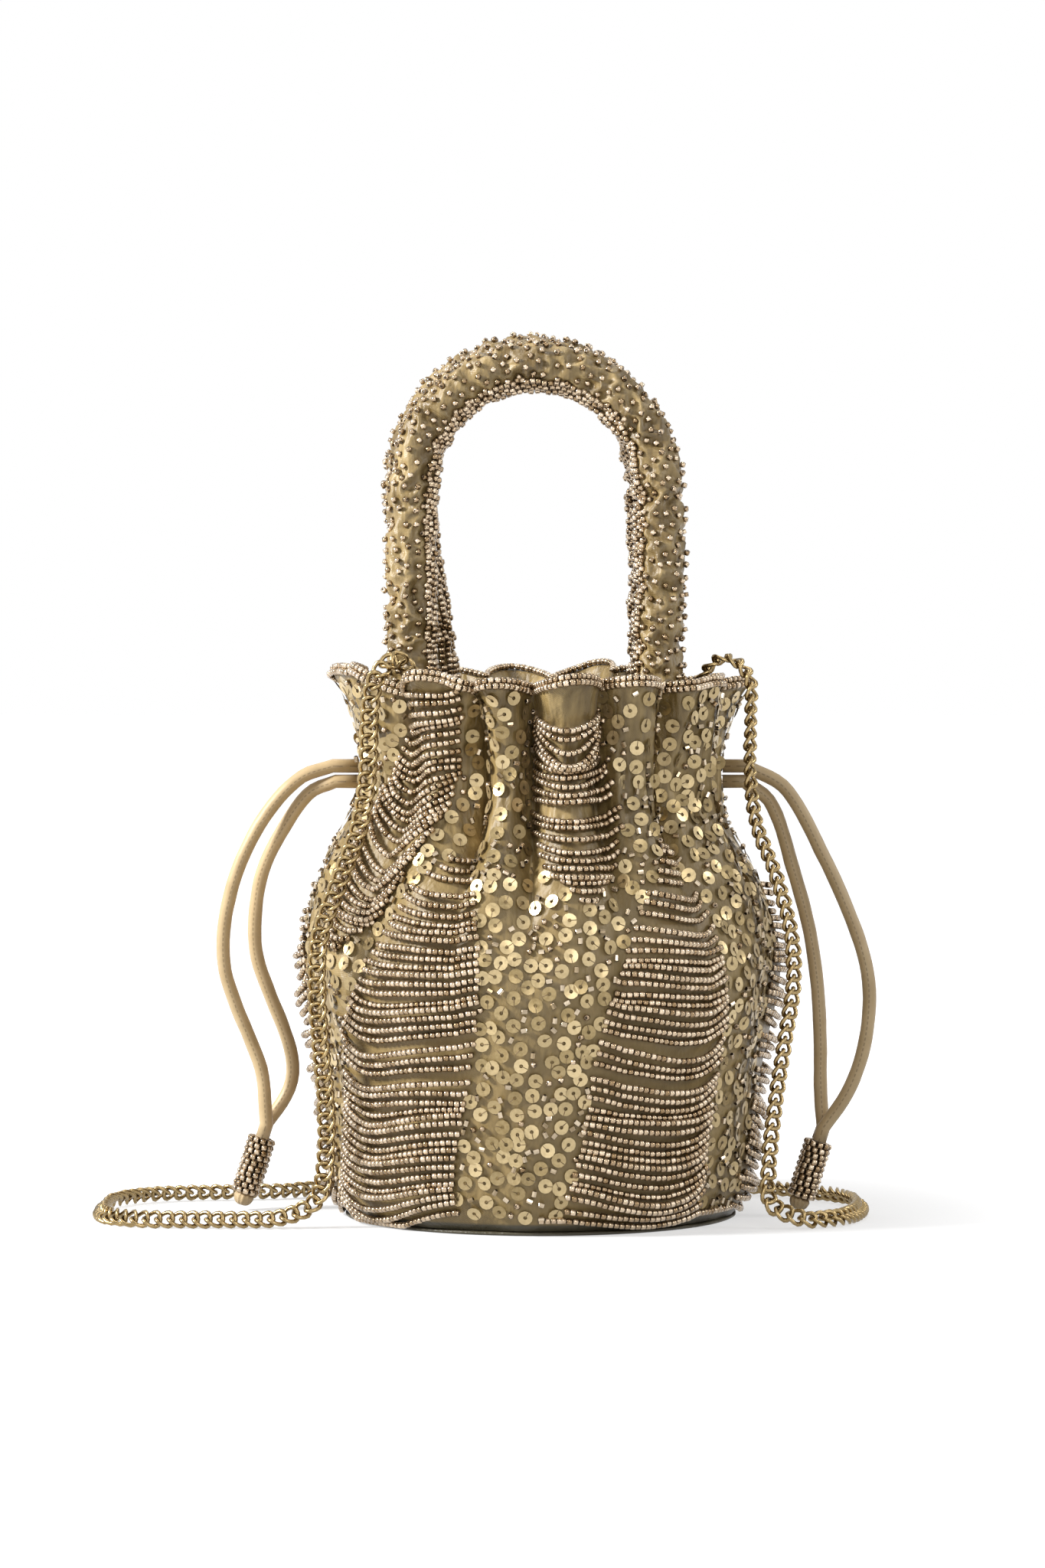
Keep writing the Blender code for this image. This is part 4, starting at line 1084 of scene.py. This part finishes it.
class Spread:
    """Remembers small pieces already sewn on, and whether a new one has room."""

    CELL = 0.006

    def __init__(self):
        self.cells = {}

    def cell(self, spot):
        return tuple(math.floor(length / self.CELL) for length in spot)

    def room(self, spot, size):
        home = self.cell(spot)
        for dx in (-1, 0, 1):
            for dy in (-1, 0, 1):
                for dz in (-1, 0, 1):
                    key = (home[0] + dx, home[1] + dy, home[2] + dz)
                    for other, reach in self.cells.get(key, ()):
                        if (other - spot).length < size + reach:
                            return False
        return True

    def add(self, spot, size):
        self.cells.setdefault(self.cell(spot), []).append((spot, size))


def near_slot(spot):
    """True where the stitches of a cord's slot leave no room."""
    beside = math.hypot(spot.y, (spot.z - SLOT_HEIGHT) * 0.65)
    return beside < SLOT_MARGIN and abs(spot.x) > 0.05


def make_scatter(beads, glass, sequins, thread):
    """Sequins, bugles and single beads sewn between the leaves of strands."""
    rng = random.Random(5)
    spread = Spread()
    laid = {"sequin": [], "bugle": [], "seed": [], "thread": []}

    def try_spot(margin):
        angle = rng.uniform(-180, 180)
        level = rng.uniform(0.0070, RIM_HEIGHT - 0.004)
        if in_leaf(angle, level, margin) or pinch(angle, level) > DEEPEST_SEWN:
            return None
        spot = cloth(angle, level)
        return None if near_slot(spot) else (spot, outward(angle, level))

    for _ in range(SEQUIN_TRIES):
        found, size = try_spot(0.0016), rng.choice(SEQUIN_ROOMS)
        if not found or not spread.room(found[0], size):
            continue
        spot, out = found
        spread.add(spot, size)
        tilt = Vector([rng.uniform(-1, 1) for _ in range(3)]) * SEQUIN_TILT
        facing = (out + tilt).normalized()
        side = any_side(facing, rng)
        lift = 0.0005 + tilt.length * 0.0012
        shade = rng.random()
        laid["sequin"].append((spot + out * lift, standing(facing, side), shade))
        seat = spot + out * (lift + 0.00022)
        middle = seat + side * SEQUIN_RADIUS * 0.5
        laid["thread"].append((middle, standing(side, facing), shade))
    for _ in range(BEAD_TRIES):
        found = try_spot(0.0012)
        if not found or not spread.room(found[0], BEAD_ROOM):
            continue
        spot, out = found
        spread.add(spot, BEAD_ROOM)
        side = any_side(out, rng)
        along = (side + out * rng.uniform(-0.1, 0.25)).normalized()
        if rng.random() < BUGLE_SHARE:
            laid["bugle"].append((spot + out * 0.0012, standing(along, out), rng.random()))
        else:
            along = (side + out * rng.uniform(0.0, 1.2)).normalized()
            laid["seed"].append((spot + out * 0.0010, standing(along, out), rng.random()))

    carried = (
        ("sewn_sequins", SEQUIN, laid["sequin"], sequins, 35),
        ("sewn_bugles", BUGLE, laid["bugle"], glass, 35),
        ("sewn_seed_beads", SEED, laid["seed"], beads, None),
        ("sequin_threads", THREAD, laid["thread"], thread, None),
    )
    for name, shape, places, finish, angle in carried:
        copies(name, shape, places, finish, angle)


def make_edging(beads):
    """Rows of seed beads over the rim, and one along the foot between the swags."""
    rng = random.Random(21)
    places, foot = [], []
    half = WALL_THICKNESS / 2
    rows = ((RIM_HEIGHT, -half, 0.0010), (RIM_HEIGHT - 0.0007, 0.0010, -0.0004))
    for level, out, lift in rows:
        ring = []
        for k in range(721):
            angle = PLEAT_VALLEYS[0] + k * 0.5
            point = cloth(angle, level)
            ring.append(point + polar(angle, out, lift))
        points = spaced(ring, BEAD_PITCH)[:-1]
        places += bead_row(points, ways_out(points, 0.02), rng)
    made = copies("rim_beads", BEAD, places, beads)
    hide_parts("rim_edging")
    ring, level = [], 0.0058
    for k in range(721):
        angle = k * 0.5
        if not in_leaf(angle, level, 0.001):
            ring.append(cloth(angle, level) + polar(angle, BEAD_RADIUS, 0))
            continue
        if len(ring) > 3:
            points = spaced(ring, BEAD_PITCH)
            foot += bead_row(points, ways_out(points), rng)
        ring = []
    copies("foot_beads", BEAD, foot, beads)


def handle_line(handle):
    """Points along a handle, up one leg, over the arch and down the other."""
    side, left, right, middle, top = handle
    legs = []
    for across, depth in (left, right):
        legs.append([Vector((across, depth, z)) for z in (HANDLE_FOOT_HEIGHT, RIM_HEIGHT)])
    arch = []
    for k in range(7):
        turn = math.pi * k / 6
        height = HANDLE_SPRING_HEIGHT + (top - HANDLE_SPRING_HEIGHT) * math.sin(turn)
        lean = (height - RIM_HEIGHT) / (top - RIM_HEIGHT)
        depth = legs[0][1].y + (legs[1][1].y - legs[0][1].y) * k / 6
        depth += (side * HANDLE_LEAN - depth) * lean
        arch.append(Vector((middle - HANDLE_HALF * math.cos(turn), depth, height)))
    return resample(legs[0] + arch + legs[1][::-1], HANDLE_SPACING)


def swell(pad):
    """Lets the padding press the cover out a little, and keeps the result."""
    voxels = pad.modifiers.new("even_mesh", "REMESH")
    voxels.mode = "VOXEL"
    voxels.voxel_size = PADDING_VOXEL
    settle(pad)
    start = [corner.co.copy() for corner in pad.data.vertices]
    sim = pad.modifiers.new("padding", "CLOTH")
    sim.settings.use_pressure = True
    sim.settings.uniform_pressure_force = PADDING_PRESSURE
    sim.settings.effector_weights.gravity = 0
    scene = bpy.context.scene
    for number in range(1, PADDING_FRAMES + 1):
        scene.frame_set(number)
    settle(pad)
    scene.frame_set(1)
    for corner, home in zip(pad.data.vertices, start):
        move = corner.co - home
        if move.length > PADDING_SWELL:
            corner.co = home + move * (PADDING_SWELL / move.length)
    finer = pad.modifiers.new("smooth", "SUBSURF")
    finer.levels = finer.render_levels = 1
    settle(pad)


def along_handle(line, spacing):
    """Places along a handle: point, way along, way to the opening and way across."""
    centre = line[len(line) // 2]
    heart = Vector((centre.x, (line[0].y + centre.y) / 2, HANDLE_HEART))
    fine = resample(line, spacing)
    axes = []
    for k, point in enumerate(fine):
        before, after = either_side(fine, k)
        along = (after - before).normalized()
        inward = heart - point
        inward.z = heart.z - point.z if point.z > heart.z else 0.0
        inward = (inward - along * inward.dot(along)).normalized()
        axes.append((point, along, inward, along.cross(inward)))
    return axes


def way_out(axis, turn):
    _, _, inward, beside = axis
    return (inward * math.cos(turn) + beside * math.sin(turn)).normalized()


def gathered(pad, line, stitches):
    """Draws the cover in at each bead's stitch, and in short gathers across the padding."""
    sewn = KDTree(len(stitches))
    for k, stitch in enumerate(stitches):
        sewn.insert(stitch, k)
    sewn.balance()
    for corner in pad.data.vertices:
        k = min(range(len(line)), key=lambda n: (line[n] - corner.co).length_squared)
        before, after = either_side(line, k)
        along = (after - before).normalized()
        offset = corner.co - line[k]
        out = (offset - along * offset.dot(along)).normalized()
        run = k * HANDLE_SPACING + offset.dot(along)
        gather = Vector((run * 150, out.y * 1.1 + 3, (out.x + out.z) * 1.1))
        ridge = 0.7 - 2.6 * abs(noise.noise(gather))
        dimple = max(1 - sewn.find(corner.co)[2] / DIMPLE_REACH, 0.0) ** 1.5
        corner.co += out * (ridge * GATHER_RELIEF - dimple * DIMPLE_DEPTH)


def make_handle(name, handle, satin, beads):
    """A satin cover gathered over padding, with rows of seed beads along its inner side."""
    rng = random.Random(name)
    line = handle_line(handle)
    axes = along_handle(line, 0.0010)
    shown = axes[HIDDEN_FOOT:-HIDDEN_FOOT]
    spread = Spread()
    sites = []
    for _ in range(SINGLE_TRIES):
        axis = rng.choice(shown)
        turn = rng.uniform(INNER_EDGE, 2 * math.pi - INNER_EDGE)
        out = way_out(axis, turn)
        spot = axis[0] + out * HANDLE_RADIUS
        if spread.room(spot, SINGLE_ROOM):
            spread.add(spot, SINGLE_ROOM)
            sites.append((axis, turn, spot))

    pad = tube(name + "_cover", line, HANDLE_RADIUS - 0.0007, satin, 24)
    swell(pad)
    gathered(pad, line, [spot for _, _, spot in sites])
    pad.data.materials.clear()
    pad.data.materials.append(satin)
    pad.data.shade_smooth()
    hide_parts(name)
    cover = BVHTree.FromPolygons(
        [corner.co for corner in pad.data.vertices],
        [tuple(face.vertices) for face in pad.data.polygons],
    )

    def on_cover(axis, turn):
        out = way_out(axis, turn)
        hit, _, _, _ = cover.ray_cast(axis[0] + out * 0.03, -out, 0.03)
        return (hit if hit else axis[0] + out * HANDLE_RADIUS), out

    places = []
    for turn in INNER_ROWS:
        path, outs = [], []
        for axis in shown:
            spot, out = on_cover(axis, turn)
            path.append(spot + out * BEAD_RADIUS * 0.85)
            outs.append(out)
        points = spaced(path, BEAD_PITCH)
        last = len(outs) - 1
        ways = [outs[min(k * len(outs) // len(points), last)] for k in range(len(points))]
        places += bead_row(points, ways, rng, 0.00016)
    copies(name + "_bead_rows", BEAD, places, beads)
    singles = []
    for axis, turn, _ in sites:
        spot, out = on_cover(axis, turn)
        side = any_side(out, rng)
        side = (side + out * rng.uniform(-0.2, 0.7)).normalized()
        singles.append((spot + out * 0.0011, standing(side, out), rng.random()))
    copies(name + "_single_beads", SEED, singles, beads)


def make_chain(brass):
    """Curb links, each twisted so that the next one lies flat through it."""
    ends = []
    for side in ("left", "right"):
        centre, pull, _ = RINGS[side]
        reach = RING_RADIUS + RING_WIRE / 2 + 0.0003
        ends.append(Vector(centre) + Vector(pull) * reach)
    knots = [ends[0]] + [polar(*place) for place in LEFT_DROP]
    knots += [Vector((x, y, CHAIN_FLOOR)) for x, y in FLOOR_RUN]
    knots += [polar(*place) for place in reversed(RIGHT_DROP)] + [ends[1]]
    points = resample(knots, CHAIN_PITCH)
    points = [Vector((spot.x, spot.y, max(spot.z, CHAIN_FLOOR))) for spot in points]
    spacing = (points[1] - points[0]).length
    half_length = (spacing + LINK_WIRE) / 2
    half_width = (LINK_WIDTH - LINK_WIRE) / 2
    twist = math.radians(LINK_TWIST)

    def place(i, j):
        turn, roll = turn_of(i, LINK_SIDES), turn_of(j, WIRE_SIDES)
        round_x = math.copysign(abs(math.cos(turn)) ** LINK_SQUARENESS, math.cos(turn))
        round_y = math.copysign(abs(math.sin(turn)) ** LINK_SQUARENESS, math.sin(turn))
        out = Vector((math.cos(turn) * half_width, math.sin(turn) * half_length, 0))
        out.normalize()
        spot = Vector((half_length * round_x, half_width * round_y, 0))
        spot += (out * math.cos(roll) + UP * math.sin(roll)) * (LINK_WIRE / 2)
        sway = twist * spot.x / half_length
        return Vector((
            spot.x,
            spot.y * math.cos(sway) - spot.z * math.sin(sway),
            spot.y * math.sin(sway) + spot.z * math.cos(sway),
        ))

    link = mesh_from("link", mapped_grid(LINK_SIDES, WIRE_SIDES, place))
    rng = random.Random(8)
    places = []
    for k, spot in enumerate(points):
        before, after = either_side(points, k)
        along = (after - before).normalized()
        turned = CHAIN_TURN_LEFT if spot.x < 0 else CHAIN_TURN_RIGHT
        radial = polar(through(turned, spot.z), 1.0, 0.0)
        hanging = clamped((spot.z - CHAIN_FLOOR) / LINK_RISE)
        resting = UP * math.cos(LINK_LEAN) + UP.cross(along) * math.sin(LINK_LEAN)
        face = resting.lerp(radial, hanging)
        face = (face - along * face.dot(along)).normalized()
        slack = math.radians(rng.uniform(-LINK_SLACK, LINK_SLACK))
        face.rotate(Matrix.Rotation(slack, 3, along))
        turn = Matrix((along, face.cross(along), face)).transposed()
        places.append((spot, turn, rng.random()))
    chain = copies("chain_strap", link, places, brass)
    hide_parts(*CHAIN_NODES)


def make_ring_and_tab(side, brass, satin):
    """An end ring of the chain, and the satin tab that goes round it into the bag."""
    centre, pull, angle = RINGS[side]
    centre, pull = Vector(centre), Vector(pull)
    beside = Vector((pull.y, -pull.x, 0)).normalized()
    flat = pull.cross(beside)

    def place(i, j):
        turn, roll = turn_of(i, RING_SIDES), turn_of(j, RING_WIRE_SIDES)
        out = pull * math.cos(turn) + beside * math.sin(turn)
        return centre + out * RING_RADIUS + (
            out * math.cos(roll) + flat * math.sin(roll)
        ) * (RING_WIRE / 2)

    shape = mapped_grid(RING_SIDES, RING_WIRE_SIDES, place)
    ring = piece(f"end_ring_{side}", shape, brass)
    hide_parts(f"chain_ring_{side}")

    radial = polar(angle, 1.0, 0.0)
    across = Vector((radial.y, -radial.x, 0))
    low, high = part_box(f"chain_tab_{side}")
    eye = centre - pull * RING_RADIUS
    reach = RING_WIRE / 2 + 0.0007
    foot = low.z + 0.0002
    outer = max(math.hypot(low.x, low.y), math.hypot(high.x, high.y)) - TAB_HALF_WIDTH
    start = polar(angle, outer, foot)
    route = [start, start.lerp(eye, 0.45) - radial * 0.0002]
    for turn in range(-20, 230, 25):
        swing = math.radians(turn)
        out, up = reach * math.cos(swing), reach * math.sin(swing)
        route.append(eye + radial * out + Vector((0, 0, up)))
    rows = []
    for k, spot in enumerate(route):
        before, after = either_side(route, k)
        out = (after - before).normalized().cross(across).normalized()
        rows.append([
            spot + across * (TAB_HALF_WIDTH * wide) + out * (TAB_HALF_THICKNESS * thick)
            for wide, thick in TAB_SECTION
        ])
    sides = len(TAB_SECTION)
    shape = mapped_grid(sides, len(rows) - 1, lambda i, j: rows[j][i % sides])
    bmesh.ops.holes_fill(shape, edges=[edge for edge in shape.edges if edge.is_boundary])
    bmesh.ops.recalc_face_normals(shape, faces=shape.faces)
    tab = piece(f"ring_tab_{side}", shape, satin, 50)
    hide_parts(f"chain_tab_{side}")


def make_buttonholes(thread):
    """Close stitches round the slots that the drawcords come out of."""
    places = []
    rng = random.Random(31)
    for side in (-1, 1):
        for k in range(BUTTONHOLE_STITCHES):
            turn = 2 * math.pi * k / BUTTONHOLE_STITCHES
            up = BUTTONHOLE_RADIUS * math.sin(turn)
            up += math.copysign(SLOT_STRAIGHT, up) if abs(up) > 1e-6 else 0
            across = BUTTONHOLE_RADIUS * math.cos(turn)
            angle = math.degrees(across / SLOT_REACH) * side + 90 * side
            level = SLOT_HEIGHT + up
            spot = cloth(angle, level)
            out = outward(angle, level)
            spoke = Vector((0, across, up))
            turned = standing(spoke + out * 0.0003, out)
            places.append((spot + out * 0.0002, turned, rng.random()))
    copies("buttonhole_stitches", STITCH, places, thread)


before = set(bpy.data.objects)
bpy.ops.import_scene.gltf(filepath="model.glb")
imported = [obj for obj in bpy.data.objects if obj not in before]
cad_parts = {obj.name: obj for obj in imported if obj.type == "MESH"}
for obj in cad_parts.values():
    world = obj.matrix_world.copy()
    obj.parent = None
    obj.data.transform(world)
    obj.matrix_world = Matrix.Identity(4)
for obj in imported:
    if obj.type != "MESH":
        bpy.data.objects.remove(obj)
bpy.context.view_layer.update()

BEAD = small_shape(
    "bead",
    [(-BEAD_LENGTH * 0.5, 0.0), (-BEAD_LENGTH * 0.5, BEAD_RADIUS * 0.60),
     (-BEAD_LENGTH * 0.33, BEAD_RADIUS), (BEAD_LENGTH * 0.33, BEAD_RADIUS),
     (BEAD_LENGTH * 0.5, BEAD_RADIUS * 0.60), (BEAD_LENGTH * 0.5, 0.0)],
    7,
)
SEED = small_shape(
    "seed",
    [(-0.00085, 0.00035), (-0.00075, 0.00105), (0.00075, 0.00105), (0.00085, 0.00035)],
    6,
    closed=True,
)
SEQUIN = small_shape(
    "sequin",
    [(0.00020, SEQUIN_RADIUS), (0.00005, 0.00070), (-0.00008, 0.00070)],
    12,
    closed=True,
)
BUGLE = small_shape(
    "bugle",
    [(-BUGLE_LENGTH / 2, BUGLE_RADIUS * 0.5), (-BUGLE_LENGTH / 2, BUGLE_RADIUS * 0.74),
     (-BUGLE_LENGTH * 0.42, BUGLE_RADIUS), (BUGLE_LENGTH * 0.42, BUGLE_RADIUS),
     (BUGLE_LENGTH / 2, BUGLE_RADIUS * 0.74), (BUGLE_LENGTH / 2, BUGLE_RADIUS * 0.5)],
    6,
    closed=True,
)
THREAD = small_shape(
    "thread",
    [(-0.0014, 0.0), (-0.0013, THREAD_RADIUS), (0.0013, THREAD_RADIUS), (0.0014, 0.0)],
    4,
)
STITCH = small_shape(
    "stitch", [(-0.0007, 0.0), (-0.0006, 0.00022), (0.0006, 0.00022), (0.0007, 0.0)], 5
)

make_camera()
bag_satin = satin_finish("champagne_satin", SATIN_COLORS, 0.38)
soft_satin = satin_finish("handle_satin", HANDLE_COLORS, 0.36, 16.0)
inner_satin = satin_finish("lining_satin", LINING_COLORS, 0.55)
strand_glass = bead_finish("silver_lined_glass", GLASS_COLORS, 0.18, 0.85)
bugle_glass = bead_finish("bugle_glass", BUGLE_COLORS, 0.16, 0.8)
gold_disc = sequin_finish()
gold_chain = brass_finish()
tube_satin = cord_finish()
brown_thread = thread_finish()

make_cords(tube_satin, strand_glass)
make_world()
make_floor()
for lamp_values in LAMPS:
    make_lamp(*lamp_values)
make_wall(bag_satin)
make_base(bag_satin, inner_satin, card_finish())
for swag_name, leaf_values in UPPER_SWAGS.items():
    make_swag(swag_name, leaf_values, True, strand_glass)
for swag_name, leaf_values in LOWER_SWAGS.items():
    make_swag(swag_name, leaf_values, False, strand_glass)
make_scatter(strand_glass, bugle_glass, gold_disc, brown_thread)
make_edging(strand_glass)
for handle_name, handle_values in HANDLES.items():
    make_handle(handle_name, handle_values, soft_satin, strand_glass)
make_chain(gold_chain)
for ring_side in ("left", "right"):
    make_ring_and_tab(ring_side, gold_chain, bag_satin)
make_buttonholes(brown_thread)
